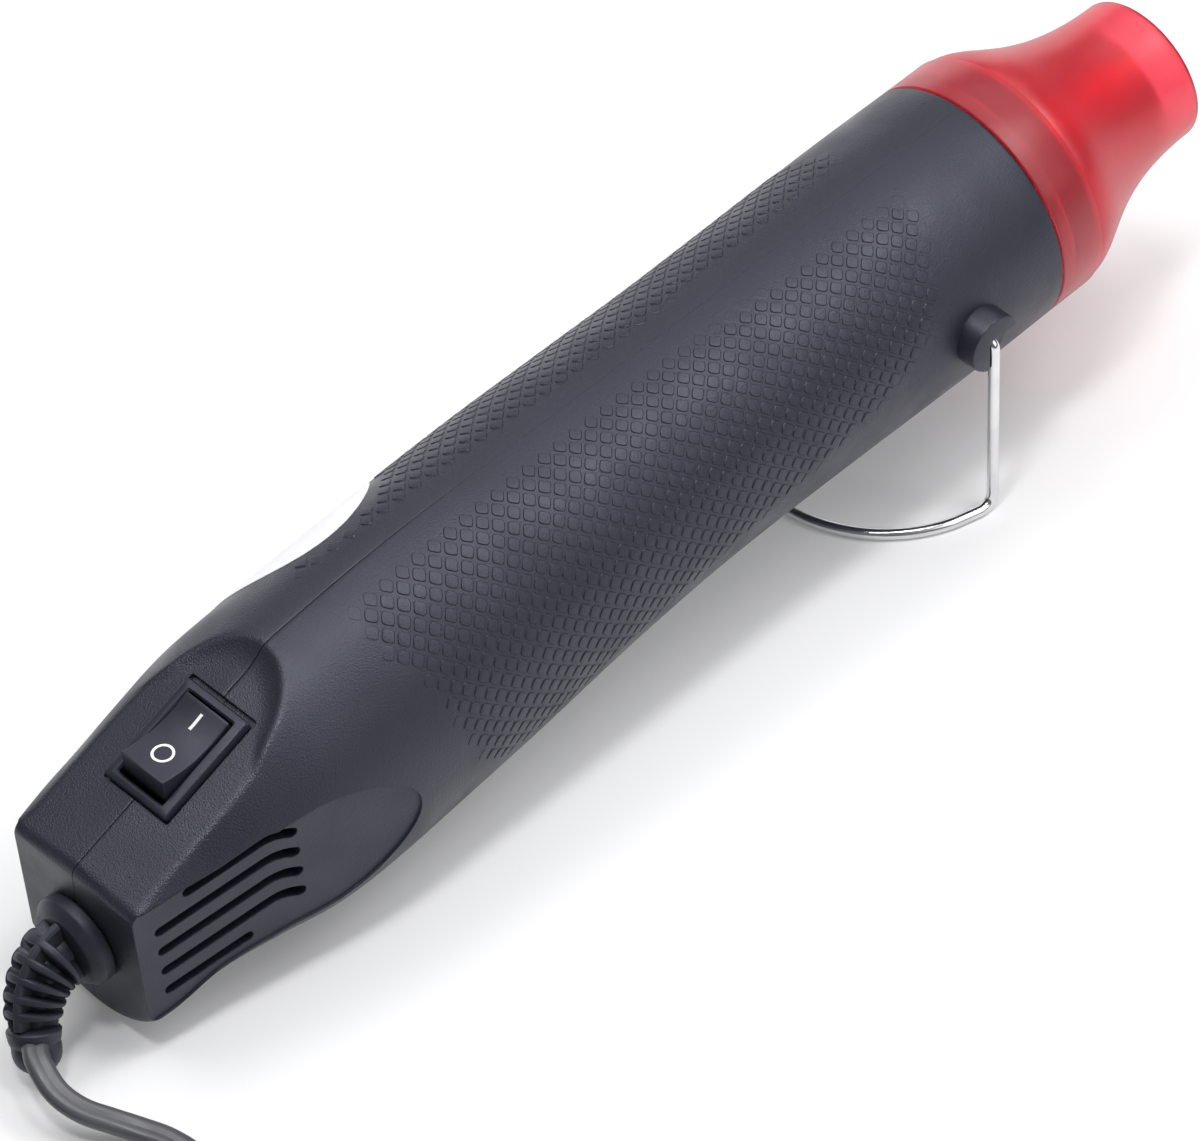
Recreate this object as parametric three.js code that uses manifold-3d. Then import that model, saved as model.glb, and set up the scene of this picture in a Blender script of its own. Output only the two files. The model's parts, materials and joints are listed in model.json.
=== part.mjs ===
// Hot air tool: a slim heat gun with a translucent nozzle guard, a rocker switch on its sloping
// tail, a folding wire stand and a flat twin lead put away as a coil.
// Millimetres. In the tool's own frame X runs forward from the rear face along the axis of the
// nozzle, Y points left and Z points up to the switch. The tool stands on its tail and its wire
// stand, so the whole is turned nose up by the angle that this gives.
import * as THREE from 'three';
import { mergeVertices } from 'three/addons/utils/BufferGeometryUtils.js';
import Module from 'manifold-3d';

const wasm = await Module();
wasm.setup();

// Fits
const fit = 0.3; // gap between pieces that seat on each other
const running = 0.4; // gap round pieces that move
const overlap = 0.4; // how far a rib or boss is sunk into the wall that carries it

// Housing
const bodyLength = 209; // rear face to the joint line of the guard
const bodyRadius = 24; // at the joint line
const gripRadius = 23.6; // slimmest part of the grip
const gripAt = 148;
const swellRadius = 24.1; // slight swell round the lugs
const swellSetback = 18; // behind the joint line
const wall = 2.2;
const tailEnd = 72; // where the sections have become round
const rearRound = 1.5; // edge round of the rear face
const rearHalf = 15; // half width of the tail between its flat flanks, at the rear face
const flankAt = 52; // where the flat flanks run out
const flankHalf = 24.3; // half width there
const rearCorner = 2.5; // upright corner round

// Sections of the tail: distance from the rear face, half width, crown, belly, widest height
const tailSections = [
  { x: 0, half: 21, crown: 7.4, belly: -30.6, mid: -7 },
  { x: 5, half: 21, crown: 9.2, belly: -31, mid: -7 },
  { x: 14, half: 20.9, crown: 13.8, belly: -29.8, mid: -7 },
  { x: 26, half: 22.5, crown: 18.1, belly: -31, mid: -7 },
  { x: 38, half: 24.4, crown: 20.9, belly: -32.9, mid: -7 },
  { x: 50, half: 24.7, crown: 22.4, belly: -33.1, mid: -6.6 },
  { x: 68, half: 24.4, crown: 24, belly: -31.9, mid: -4.6 },
  { x: 84, half: 24.3, crown: 24.4, belly: -29.9, mid: -3 },
  { x: 104, half: 24.2, crown: 24.2, belly: -26.2, mid: -1 },
  { x: 125, half: 23.8, crown: 23.8, belly: -24, mid: 0 },
];

// Sloping switch face with its round front
const faceRearHeight = 3.9; // at the rear face
const faceSlope = THREE.MathUtils.degToRad(20);
const faceTipAt = 46.4;
const faceRoundLength = 21.4;
const faceHalf = 15.5;
const faceWall = 3.6;

// Rocker switch, a snap-in one with a 21 by 15 bezel
const switchAt = 24.7;
const seatLength = 23;
const seatWidth = 16.6;
const seatDepth = 1.3;
const bezelLength = 21;
const bezelWidth = 15;
const bezelHeight = 2;
const bezelBevel = 0.7;
const switchLength = 18.6;
const switchWidth = 12.6;
const switchDepth = 14;
const windowLength = 17.6;
const windowWidth = 10.8;
const wellDepth = 9;
const rockerLow = 8.2; // half length at the pivot's height
const rockerHigh = 7.6; // half length at the top
const rockerTop = 4.7; // height of the ends above the pivot
const rockerDip = 3.1; // height of the middle above the pivot
const rockerKeel = 5.2;
const rockerKeelHalf = 4;
const rockerSkirt = 1.5;
const pivotDepth = 1.5; // below the face
const rockAngle = THREE.MathUtils.degToRad(12);
const terminalLength = 7;
const terminalWidth = 4.8;
const terminalThick = 0.8;
const terminalSpread = 5.4;

// Vent slots in each flank
const slotCount = 5;
const slotWidth = 2.1;
const slotPitch = 4.95;
const slotRear = 3.6;
const slotFront = 31.4;
const slotBend = 24.5; // where the front ends turn down
const slotDroop = 1.7;
const slotTopHeight = 1.7; // of the top slot's line at the rear ends
const slotSlope = 0.135;
const topSlotRear = 9.6;
const lowSlotFront = 20.8;

// Lugs and wire stand
const lugSetback = 21; // behind the joint line
const lugHeight = 0.3;
const lugRadius = 5.6;
const lugProud = 3.7; // the notched lug, on the right
const lowLugProud = 1; // the plain lug, on the left
const notchFloor = 1.2; // lug left under the notch, proud of the wall
const wireRadius = 1.05;
const wireClear = 1.05; // from the notch's floor to the wire
const wireHalfSpan = swellRadius + notchFloor + wireClear + wireRadius;
const wirePin = 7; // straight pin in the lug
const wireBend = 1.7;
const legLength = 39;
const legLean = THREE.MathUtils.degToRad(2.85); // backward, at rest
const footBend = 3;
const footReach = 26.4; // the foot's loop runs this far back
const foldAngle = THREE.MathUtils.degToRad(90);

// Nozzle guard
const guardWall = 1.7;
const guardLength = 45.3;
const bandLength = 10;
const mouthRadius = 14.2;
const flareStart = 6.5; // handle lengths of the flare's curve
const flareEnd = 22.8;
const spigotLength = 8;
const spigotWall = 2;
const spigotRoot = 7; // how far the spigot reaches back inside the housing
const beadAt = 4; // snap bead, ahead of the joint line
const beadHeight = 0.6;
const beadWidth = 1.6;

// Heater
const tubeRadius = 11.4;
const tubeWall = 0.5;
const tubeMouth = 7; // behind the guard's mouth
const tubeLength = 101;
const linerWall = 0.4;
const linerSetback = 4;
const micaThick = 0.6;
const micaMargin = 3;
const washerThick = 1.2;
const coilTurns = 12;
const coilPitch = 6;
const coilRadius = 8.7;
const coilWire = 0.45;
const coilSetback = 12; // from the tube's mouth
const coilPhase = 1 / 8; // of a turn: the winding starts and ends between the plates
const fuseRadius = 1.8;
const fuseLength = 10;
const cutoffSize = 3.6;
const cutoffLength = 9;
const sensorSetback = 14; // from the rear of the mica plates

// Fan, motor and duct
const ductRadius = 19.4;
const ductWall = 1;
const ductStraight = 17;
const spoutLength = 8;
const fanGap = 0.7;
const fanWidth = 10;
const fanHub = 4.2;
const fanBlades = 7;
const bladeThick = 1;
const bladePitch = THREE.MathUtils.degToRad(38);
const shaftRadius = 1;
const motorAt = 70;
const motorLength = 29;
const motorRadius = 12.2;
const motorFlat = 10;
const endCapLength = 3;
const motorBoss = 3;
const mountThick = 3;
const cupLength = 8;
const cupWall = 1.4;
const spokes = 4;
const spokeWidth = 4;
const ribWidth = 1.4;
const ribHeight = 1.6;
const mountAt = motorAt + motorLength + fit;
const ductAt = mountAt + mountThick + fit + ribWidth;
const fanSetback = 2; // of the fan, in the duct
const fanAt = ductAt + fanSetback;
const boardRadius = 11.6;
const boardThick = 1.2;
const boardGap = 1;
const diodeRadius = 1.3;
const diodeLength = 5;
const diodeSpread = 5;

// Housing screws: they enter from the left half
const postRadius = 4.2;
const screwRadius = 1.4;
const screwHead = 2.6;
const screwHeadHeight = 1.8;
const headSeat = 6; // from the seam
const screwDepth = 7; // into the right half
const rearPostAt = 60;
const rearPostTop = 16.4;
const rearPostLow = -22;
const frontPostSetback = 33;
const frontPostHeight = 17;

// Strain relief
const cordHeight = -12.3; // of the cord hole
const bootFlange = 8.5;
const bootFlangeThick = 4;
const bootNeck = 5;
const bootInner = 7;
const bootInnerThick = 2;
const bootRoot = 6.4;
const bootTip = 4.1;
const bootRibs = 6;
const ribDepth = 0.9;
// The boot's curve: its two handles and its tip, from the middle of the flange's outer face
const bootBend = [[-7.4, 0.2, -0.2], [-9.3, 0.4, -6.5], [-13.3, -6.4, -7.7]];

const cordWidth = 4.6;
const cordThick = 2.8;
// The lead's way to the coil, from under the boot's tip, with the height that it still has to fall
const cordRoute = [
  [-2.6, -8.1, 5], [-1.4, -12.7, 3.2], [1.3, -16.8, 1.6], [3.8, -20.8, 0.5], [5.9, -25.7, 0],
  [6.3, -32.2, 0], [2.7, -38.2, 0], [-4.3, -41.5, 0], [-12.9, -42.2, 0], [-25.9, -42.2, 0],
  [-38.9, -42.2, 0], [-50.9, -42.2, 0],
];
const coilOuter = 40.5;
const coilStep = 6.2; // from turn to turn
const coilLayer = 3.4; // from layer to layer
const turnsIn = 3.5;
const turnsOut = 3;
const loopSteps = 24;
const climbFrom = 0.38 * Math.PI; // the climb fills the middle of the half turn
const coilLift = 1.3; // the tie passes under the turns
const coilTail = 32; // straight run to the plug
const tieThick = 0.7;
const tieSlack = 0.9; // inside the innermost turn, which curves across the tie
const tieWidth = 6;
const plugLength = 26;
const plugWidth = 18;
const plugHeight = 12;
const plugWaist = 0.62;
const bladeLength = 16;
const bladeHeight = 6.3;
const pinThick = 1.5;
const pinSpread = 6.35;

// Finishes
const finish = (color, roughness, metalness = 0) =>
  new THREE.MeshStandardMaterial({ color, roughness, metalness, flatShading: true });
const blackPlastic = () => finish(0x3a3c44, 0.55);
const switchPlastic = () => finish(0x202228, 0.4);
const redPlastic = () => finish(0xb8323e, 0.25);
const bootRubber = () => finish(0x2b2c31, 0.7);
const brightSteel = () => finish(0xc4c6c9, 0.25, 1);
const mica = () => finish(0xb9ad92, 0.6);
const resistanceWire = () => finish(0x8d8a86, 0.4, 1);
const whitePlastic = () => finish(0xd8d6cf, 0.5);
const boardGreen = () => finish(0x2f6b3c, 0.5);
const brass = () => finish(0xc0a04c, 0.35, 1);

// A closed geometry as a solid that can be joined and cut
function solid(geometry) {
  const flat = geometry.index ? geometry.toNonIndexed() : geometry;
  const bare = new THREE.BufferGeometry();
  bare.setAttribute('position', flat.getAttribute('position'));
  const merged = mergeVertices(bare, 1e-4);
  const corners = merged.index.array;
  const kept = [];
  for (let i = 0; i < corners.length; i += 3) {
    const [a, b, c] = [corners[i], corners[i + 1], corners[i + 2]];
    if (a !== b && b !== c && c !== a) kept.push(a, b, c);
  }
  const vertProperties = Float32Array.from(merged.getAttribute('position').array);
  const make = (tris) =>
    new wasm.Manifold(new wasm.Mesh({ numProp: 3, vertProperties, triVerts: Uint32Array.from(tris) }));
  const made = make(kept);
  if (made.volume() > 0) return made;
  const turned = [];
  for (let i = 0; i < kept.length; i += 3) turned.push(kept[i], kept[i + 2], kept[i + 1]);
  return make(turned);
}

function geometryOf(body) {
  const { vertProperties, triVerts, numProp } = body.getMesh();
  const places = new Float32Array((vertProperties.length / numProp) * 3);
  for (let i = 0; i < places.length / 3; i += 1) {
    for (let k = 0; k < 3; k += 1) places[i * 3 + k] = vertProperties[i * numProp + k];
  }
  const geometry = new THREE.BufferGeometry();
  geometry.setAttribute('position', new THREE.BufferAttribute(places, 3));
  geometry.setIndex(new THREE.BufferAttribute(Uint32Array.from(triVerts), 1));
  geometry.computeVertexNormals();
  return geometry;
}

function piece(name, body, material) {
  const mesh = new THREE.Mesh(geometryOf(body), material);
  mesh.name = name;
  return mesh;
}

// Plain solids
function box(x0, x1, y0, y1, z0, z1) {
  const geometry = new THREE.BoxGeometry(x1 - x0, y1 - y0, z1 - z0);
  return solid(geometry.translate((x0 + x1) / 2, (y0 + y1) / 2, (z0 + z1) / 2));
}

// Round bar along Y
function barY(x, z, radius, y0, y1, sides = 20) {
  const geometry = new THREE.CylinderGeometry(radius, radius, y1 - y0, sides);
  return solid(geometry.translate(x, (y0 + y1) / 2, z));
}

// Profile of [x, radius] points turned about the tool's axis
function turned(profile, sides = 32) {
  const points = profile.map(([x, r]) => new THREE.Vector2(r, x));
  return solid(new THREE.LatheGeometry(points, sides).rotateZ(-Math.PI / 2));
}

// Tube between two radii
function sleeve(x0, x1, inner, outer, sides = 32) {
  return turned([[x0, inner], [x0, outer], [x1, outer], [x1, inner], [x0, inner]], sides);
}

function disc(x0, x1, radius, sides = 32) {
  return turned([[x0, 0], [x0, radius], [x1, radius], [x1, 0]], sides);
}

// Plate of an outline given in X and Y, standing along Z
function plate(shape, z0, z1, curveSegments = 6) {
  const geometry = new THREE.ExtrudeGeometry(shape, { depth: z1 - z0, bevelEnabled: false, curveSegments });
  return solid(geometry.translate(0, 0, z0));
}

// Plate of an outline given in X and Z, standing along Y
function sidePlate(shape, y0, y1, curveSegments = 6) {
  const geometry = new THREE.ExtrudeGeometry(shape, { depth: y1 - y0, bevelEnabled: false, curveSegments });
  return solid(geometry.rotateX(Math.PI / 2).translate(0, y1, 0));
}

const outline = (points) => new THREE.Shape(points.map(([u, v]) => new THREE.Vector2(u, v)));

// Skin over rings of points, closed by a fan at each end
function loft(rings) {
  const count = rings[0].length;
  const places = [];
  const faces = [];
  for (const ring of rings) for (const p of ring) places.push(p.x, p.y, p.z);
  for (let i = 0; i + 1 < rings.length; i += 1) {
    for (let k = 0; k < count; k += 1) {
      const next = (k + 1) % count;
      const [a, b] = [i * count + k, i * count + next];
      const [c, d] = [a + count, b + count];
      faces.push(a, c, b, b, c, d);
    }
  }
  [rings[0], rings[rings.length - 1]].forEach((ring, end) => {
    const middle = ring.reduce((sum, p) => sum.add(p), new THREE.Vector3()).divideScalar(count);
    const hub = places.length / 3;
    places.push(middle.x, middle.y, middle.z);
    const base = end ? (rings.length - 1) * count : 0;
    for (let k = 0; k < count; k += 1) {
      const next = (k + 1) % count;
      if (end) faces.push(hub, base + next, base + k);
      else faces.push(hub, base + k, base + next);
    }
  });
  const geometry = new THREE.BufferGeometry();
  geometry.setAttribute('position', new THREE.Float32BufferAttribute(places, 3));
  geometry.setIndex(faces);
  return solid(geometry);
}

// Rings of a section of [side, rise] points carried along a line of points. The side starts square
// to the hint and turns as little as it can from point to point.
function ringsAlong(line, sectionAt, hint) {
  let rise = hint.clone();
  return line.map((point, i) => {
    const before = line[Math.max(i - 1, 0)];
    const after = line[Math.min(i + 1, line.length - 1)];
    const along = after.clone().sub(before).normalize();
    const side = new THREE.Vector3().crossVectors(along, rise).normalize();
    rise = new THREE.Vector3().crossVectors(side, along).normalize();
    const up = rise.clone();
    return sectionAt(i).map(([s, r]) => point.clone().addScaledVector(side, s).addScaledVector(up, r));
  });
}

function oval(halfWidth, halfHeight, sides) {
  return Array.from({ length: sides }, (_, k) => {
    const angle = (2 * Math.PI * k) / sides;
    return [halfWidth * Math.cos(angle), halfHeight * Math.sin(angle)];
  });
}

// Housing sections
const sections = [
  ...tailSections,
  { x: gripAt, half: gripRadius, crown: gripRadius, belly: -gripRadius, mid: 0 },
  { x: bodyLength - swellSetback, half: swellRadius, crown: swellRadius, belly: -swellRadius, mid: 0 },
  { x: bodyLength, half: bodyRadius, crown: bodyRadius, belly: -bodyRadius, mid: 0 },
];

// One value of the sections at a distance from the rear, on a smooth curve through the rows
function valueAt(key, x) {
  const last = sections.length - 1;
  let i = 0;
  while (i < last - 1 && sections[i + 1].x < x) i += 1;
  const slope = (k) => {
    const a = sections[Math.max(k - 1, 0)];
    const b = sections[Math.min(k + 1, last)];
    return (b[key] - a[key]) / (b.x - a.x);
  };
  const span = sections[i + 1].x - sections[i].x;
  const t = THREE.MathUtils.clamp((x - sections[i].x) / span, 0, 1);
  const [t2, t3] = [t * t, t * t * t];
  return (
    (2 * t3 - 3 * t2 + 1) * sections[i][key] +
    (t3 - 2 * t2 + t) * span * slope(i) +
    (3 * t2 - 2 * t3) * sections[i + 1][key] +
    (t3 - t2) * span * slope(i + 1)
  );
}

function housingRing(x, inset, sides, at = x) {
  const half = valueAt('half', x) - inset;
  const mid = valueAt('mid', x);
  const up = valueAt('crown', x) - mid - inset;
  const down = mid - valueAt('belly', x) - inset;
  return Array.from({ length: sides }, (_, k) => {
    const angle = (2 * Math.PI * k) / sides;
    const rise = Math.sin(angle);
    return new THREE.Vector3(at, half * Math.cos(angle), mid + (rise > 0 ? up : down) * rise);
  });
}

// Plan outline of the tail's flat flanks, set in by a wall
function flankPlan(inset, rear) {
  const slope = (flankHalf - rearHalf) / flankAt;
  const side = (x) => rearHalf + slope * x - inset;
  const beyond = bodyLength + guardLength;
  const round = Math.max(rearCorner - inset, fit);
  const shape = new THREE.Shape();
  shape.moveTo(rear, -side(rear) + round);
  shape.quadraticCurveTo(rear, -side(rear), rear + round, -side(rear + round));
  shape.lineTo(beyond, -side(beyond));
  shape.lineTo(beyond, side(beyond));
  shape.lineTo(rear + round, side(rear + round));
  shape.quadraticCurveTo(rear, side(rear), rear, side(rear) - round);
  return plate(shape, -3 * bodyRadius, 3 * bodyRadius);
}

// Places a geometry of the sloping face's own frame: X up the slope, Z out of the face
function onFace(geometry, along = switchAt) {
  const height = faceRearHeight + along * Math.tan(faceSlope);
  return geometry.rotateY(-faceSlope).translate(along, 0, height);
}

function faceBox(length, width, z0, z1, along = 0) {
  const geometry = new THREE.BoxGeometry(length, width, z1 - z0).translate(along, 0, (z0 + z1) / 2);
  return solid(onFace(geometry));
}

// What the sloping face takes off the tail
function faceCutter() {
  const stretch = 1 / Math.cos(faceSlope);
  const tip = faceTipAt * stretch;
  const round = faceRoundLength * stretch;
  const shape = new THREE.Shape();
  shape.moveTo(-tip, -faceHalf);
  shape.lineTo(tip - round, -faceHalf);
  shape.absellipse(tip - round, 0, round, faceHalf, -Math.PI / 2, Math.PI / 2);
  shape.lineTo(-tip, faceHalf);
  const depth = bodyRadius;
  const geometry = new THREE.ExtrudeGeometry(shape, { depth, bevelEnabled: false, curveSegments: 20 });
  return solid(onFace(geometry, 0));
}

function housingStations() {
  const rounded = [0, 0.3, 0.65, 1].map((t) => rearRound * t);
  const tail = [];
  const tailSteps = 14;
  for (let i = 1; i <= tailSteps; i += 1) tail.push(rearRound + ((tailEnd - rearRound) * i) / tailSteps);
  const front = [];
  const frontSteps = 8;
  for (let i = 1; i <= frontSteps; i += 1) front.push(tailEnd + ((bodyLength - tailEnd) * i) / frontSteps);
  return [...rounded, ...tail, ...front];
}

function outerHull() {
  const sides = 40;
  const rings = housingStations().map((x) => {
    const behind = Math.max(rearRound - x, 0);
    const edge = rearRound - Math.sqrt(rearRound ** 2 - behind ** 2);
    return housingRing(x, edge, sides);
  });
  return loft(rings).intersect(flankPlan(0, 0)).subtract(faceCutter());
}

// Space of the housing set in from its outside, between two distances from the rear
function innerSpace(inset, x0, x1) {
  const sides = 24;
  const stations = housingStations().filter((x, i) => i % 2 === 0 && x > x0 + 1 && x < x1 - 1);
  const rings = [x0, ...stations, x1].map((x) => housingRing(Math.min(x, bodyLength), inset, sides, x));
  return loft(rings);
}

function cavity() {
  const block = new THREE.BoxGeometry(4 * bodyRadius, 4 * bodyRadius, 2 * bodyRadius);
  const under = onFace(block.translate(0, 0, bodyRadius - faceWall));
  const ahead = box(faceTipAt, bodyLength, -2 * bodyRadius, 2 * bodyRadius, -bodyRadius, 2 * bodyRadius);
  const faceSide = solid(under).subtract(ahead);
  return innerSpace(wall, wall, bodyLength + 1).intersect(flankPlan(wall, wall)).subtract(faceSide);
}

// A slot follows a rising line whose front end turns down
function slotOutline(index) {
  const first = index === 0;
  const last = index === slotCount - 1;
  const from = first ? topSlotRear : slotRear;
  const to = last ? lowSlotFront : slotFront;
  const height = (x) => {
    const past = Math.max(x - slotBend, 0) / (slotFront - slotBend);
    return slotTopHeight - index * slotPitch + slotSlope * (x - slotRear) - slotDroop * 2 * past * past;
  };
  const steps = last ? 2 : 5;
  const half = slotWidth / 2;
  const ends = 4;
  const upper = [];
  const lower = [];
  for (let i = 0; i <= steps; i += 1) {
    const x = from + half + ((to - from - slotWidth) * i) / steps;
    const lean = Math.atan((height(x + 0.1) - height(x - 0.1)) / 0.2);
    upper.push([x - half * Math.sin(lean), height(x) + half * Math.cos(lean), lean, x]);
    lower.push([x + half * Math.sin(lean), height(x) - half * Math.cos(lean)]);
  }
  const cap = ([, , lean, x], start) =>
    Array.from({ length: ends - 1 }, (_, k) => {
      const angle = start + lean - (Math.PI * (k + 1)) / ends;
      return [x + half * Math.cos(angle), height(x) + half * Math.sin(angle)];
    });
  const points = [
    ...upper.map(([x, z]) => [x, z]),
    ...cap(upper[steps], Math.PI / 2),
    ...lower.reverse(),
    ...cap(upper[0], -Math.PI / 2),
  ];
  return outline(points);
}

const lugAt = bodyLength - lugSetback;
const frontPostAt = bodyLength - frontPostSetback;
const posts = [
  [rearPostAt, rearPostTop],
  [rearPostAt, rearPostLow],
  [frontPostAt, frontPostHeight],
  [frontPostAt, -frontPostHeight],
];

// Room for the wire in a lug: from the standing leg forward to the folded one
function notchOutline() {
  const room = wireRadius + running;
  const reach = lugRadius + room;
  const legAngle = -Math.PI / 2 - legLean;
  const foldedAngle = legAngle + foldAngle;
  const at = (angle, r) => [lugAt + r * Math.cos(angle), lugHeight + r * Math.sin(angle)];
  const corner = (angle, side) => {
    const [x, z] = at(angle, reach);
    return [x + room * Math.cos(angle + side), z + room * Math.sin(angle + side)];
  };
  const heel = 5;
  const round = Array.from({ length: heel + 1 }, (_, k) =>
    at(foldedAngle + Math.PI / 2 + ((legAngle + 1.5 * Math.PI - foldedAngle - Math.PI / 2) * k) / heel, room),
  );
  return outline([
    corner(legAngle, -Math.PI / 2),
    at((legAngle + foldedAngle) / 2, 2 * reach),
    corner(foldedAngle, Math.PI / 2),
    ...round,
  ]);
}

function addLugs(body) {
  let made = body;
  const core = innerSpace(wall, lugAt - 2 * lugRadius, lugAt + 2 * lugRadius);
  const room = wireRadius + running;
  for (const side of [-1, 1]) {
    const span = (from, to) => (side < 0 ? [-to, -from] : [from, to]);
    const lugFace = swellRadius + (side < 0 ? lugProud : lowLugProud);
    const lug = barY(lugAt, lugHeight, lugRadius, ...span(swellRadius - wall, lugFace), 28).subtract(core);
    const notch = sidePlate(notchOutline(), ...span(swellRadius + notchFloor, swellRadius + lugProud + 1));
    const bore = barY(lugAt, lugHeight, room, ...span(swellRadius - 2 * wall, lugFace + 1), 16);
    made = made.add(lug).subtract(notch).subtract(bore);
  }
  return made;
}

// Ring rib inside the wall that leaves a round or a like-shaped opening
function rib(x0, opening) {
  return innerSpace(wall - overlap, x0, x0 + ribWidth).subtract(opening);
}

function addRibs(body) {
  const shaped = (x0) => innerSpace(wall + ribHeight, x0 - 1, x0 + ribWidth + 1);
  const behindMount = mountAt - fit - ribWidth;
  const ductRib = ductAt + ductStraight - 2 * ribWidth;
  return body
    .add(rib(behindMount, shaped(behindMount)))
    .add(rib(mountAt + mountThick + fit, shaped(mountAt + mountThick + fit)))
    .add(rib(ductRib, disc(ductRib - 1, ductRib + ribWidth + 1, ductRadius + fit)));
}

function addPosts(body) {
  let made = body;
  for (const [x, z] of posts) {
    const inside = innerSpace(wall - overlap, x - 2 * postRadius, x + 2 * postRadius);
    made = made.add(barY(x, z, postRadius, -bodyRadius, bodyRadius).intersect(inside));
  }
  return made;
}

function drillPosts(body) {
  let made = body;
  for (const [x, z] of posts) {
    made = made.subtract(barY(x, z, screwRadius + fit, -screwDepth - 1, headSeat + 1, 12));
    made = made.subtract(barY(x, z, screwHead + fit, headSeat, 2 * bodyRadius, 16));
  }
  return made;
}

const spigotRadius = bodyRadius - guardWall - fit;

function spigot() {
  const front = bodyLength + spigotLength;
  const rear = bodyLength - spigotRoot;
  const inner = spigotRadius - spigotWall;
  const bead = bodyLength + beadAt;
  const root = bodyRadius - wall + overlap;
  return turned([
    [rear, root],
    [bodyLength, root],
    [bodyLength, spigotRadius],
    [bead - beadWidth / 2, spigotRadius],
    [bead, spigotRadius - beadHeight],
    [bead + beadWidth / 2, spigotRadius],
    [front, spigotRadius],
    [front, inner],
    [bodyLength - wall, inner],
    [rear, root - overlap],
    [rear, root],
  ], 32);
}

function housing() {
  let made = outerHull().subtract(cavity());
  made = addRibs(addPosts(made)).add(spigot());
  made = drillPosts(addLugs(made));
  made = made.subtract(faceBox(seatLength, seatWidth, -seatDepth, bodyRadius));
  made = made.subtract(faceBox(switchLength + 2 * fit, switchWidth + 2 * fit, -switchDepth, 0));
  for (let i = 0; i < slotCount; i += 1) {
    made = made.subtract(sidePlate(slotOutline(i), rearHalf / 2, 2 * bodyRadius));
    made = made.subtract(sidePlate(slotOutline(i), -2 * bodyRadius, -rearHalf / 2));
  }
  const cordHole = disc(-1, wall + 1, bootNeck + fit, 24).translate([0, 0, cordHeight]);
  return made.subtract(cordHole);
}

function shells() {
  const whole = housing();
  const far = 2 * bodyLength;
  const half = fit / 2;
  const left = whole.intersect(box(-far, far, half, far, -far, far));
  const right = whole.intersect(box(-far, far, -far, -half, -far, far));
  return [piece('left_shell', left, blackPlastic()), piece('right_shell', right, blackPlastic())];
}

// Nozzle guard: a band that snaps over the spigot, and a flare down to the mouth
function nozzleGuard() {
  const flare = new THREE.CubicBezierCurve(
    new THREE.Vector2(bandLength, bodyRadius),
    new THREE.Vector2(bandLength + flareStart, bodyRadius),
    new THREE.Vector2(guardLength - flareEnd, mouthRadius),
    new THREE.Vector2(guardLength, mouthRadius),
  );
  const steps = 7;
  const outer = [];
  const inner = [];
  for (let i = 0; i <= steps; i += 1) {
    const p = flare.getPoint(i / steps);
    const t = flare.getTangent(i / steps);
    outer.push([bodyLength + p.x, p.y]);
    inner.push([bodyLength + p.x + guardWall * t.y, p.y - guardWall * t.x]);
  }
  const rear = bodyLength + fit;
  const bore = bodyRadius - guardWall;
  const bead = bodyLength + beadAt;
  return turned([
    [rear, bodyRadius],
    ...outer,
    ...inner.reverse(),
    [bead + beadWidth / 2, bore],
    [bead, bore - beadHeight],
    [bead - beadWidth / 2, bore],
    [rear, bore],
    [rear, bodyRadius],
  ], 32);
}

// Heater
const tubeFront = bodyLength + guardLength - tubeMouth;
const tubeRear = tubeFront - tubeLength;
const tubeBore = tubeRadius - tubeWall;
const linerOuter = tubeBore - fit;
const linerRear = tubeRear + spoutLength + fit;
const linerFront = tubeFront - linerSetback;
const micaReach = linerOuter - linerWall - fit;
const micaRear = linerRear + micaMargin;
const micaFront = linerFront - micaMargin;
const coilFront = tubeFront - coilSetback;
const coilRear = coilFront - coilTurns * coilPitch;

// Former plate in the X and Z plane, notched for the winding and slotted for the other plate
function formerPlate(turn, slotFrom, slotTo) {
  let card = box(micaRear, micaFront, -micaThick / 2, micaThick / 2, -micaReach, micaReach);
  const floor = coilRadius - coilWire - running;
  const half = coilWire + running;
  for (let k = 0; k <= 2 * coilTurns; k += 1) {
    const x = coilRear + coilPitch * (turn + k / 2);
    if (x < coilRear || x > coilFront) continue;
    const up = k % 2 === 0;
    const low = up ? floor : -2 * micaReach;
    const high = up ? 2 * micaReach : -floor;
    card = card.subtract(box(x - half, x + half, -micaReach, micaReach, low, high));
  }
  const slotHalf = micaThick / 2 + fit;
  return card.subtract(box(slotFrom, slotTo, -micaReach, micaReach, -slotHalf, slotHalf));
}

function heaterCoil() {
  const steps = 8;
  const line = [];
  const ends = 2 * coilPitch / steps;
  for (let i = 0; i <= coilTurns * steps; i += 1) {
    const angle = 2 * Math.PI * (i / steps + coilPhase);
    const x = coilRear + (coilPitch * i) / steps;
    line.push(new THREE.Vector3(x, -coilRadius * Math.sin(angle), coilRadius * Math.cos(angle)));
  }
  line.unshift(line[0].clone().add(new THREE.Vector3(-ends, 0, 0)));
  line.push(line[line.length - 1].clone().add(new THREE.Vector3(ends, 0, 0)));
  return loft(ringsAlong(line, () => oval(coilWire, coilWire, 5), new THREE.Vector3(0, 0, 1)));
}

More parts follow.
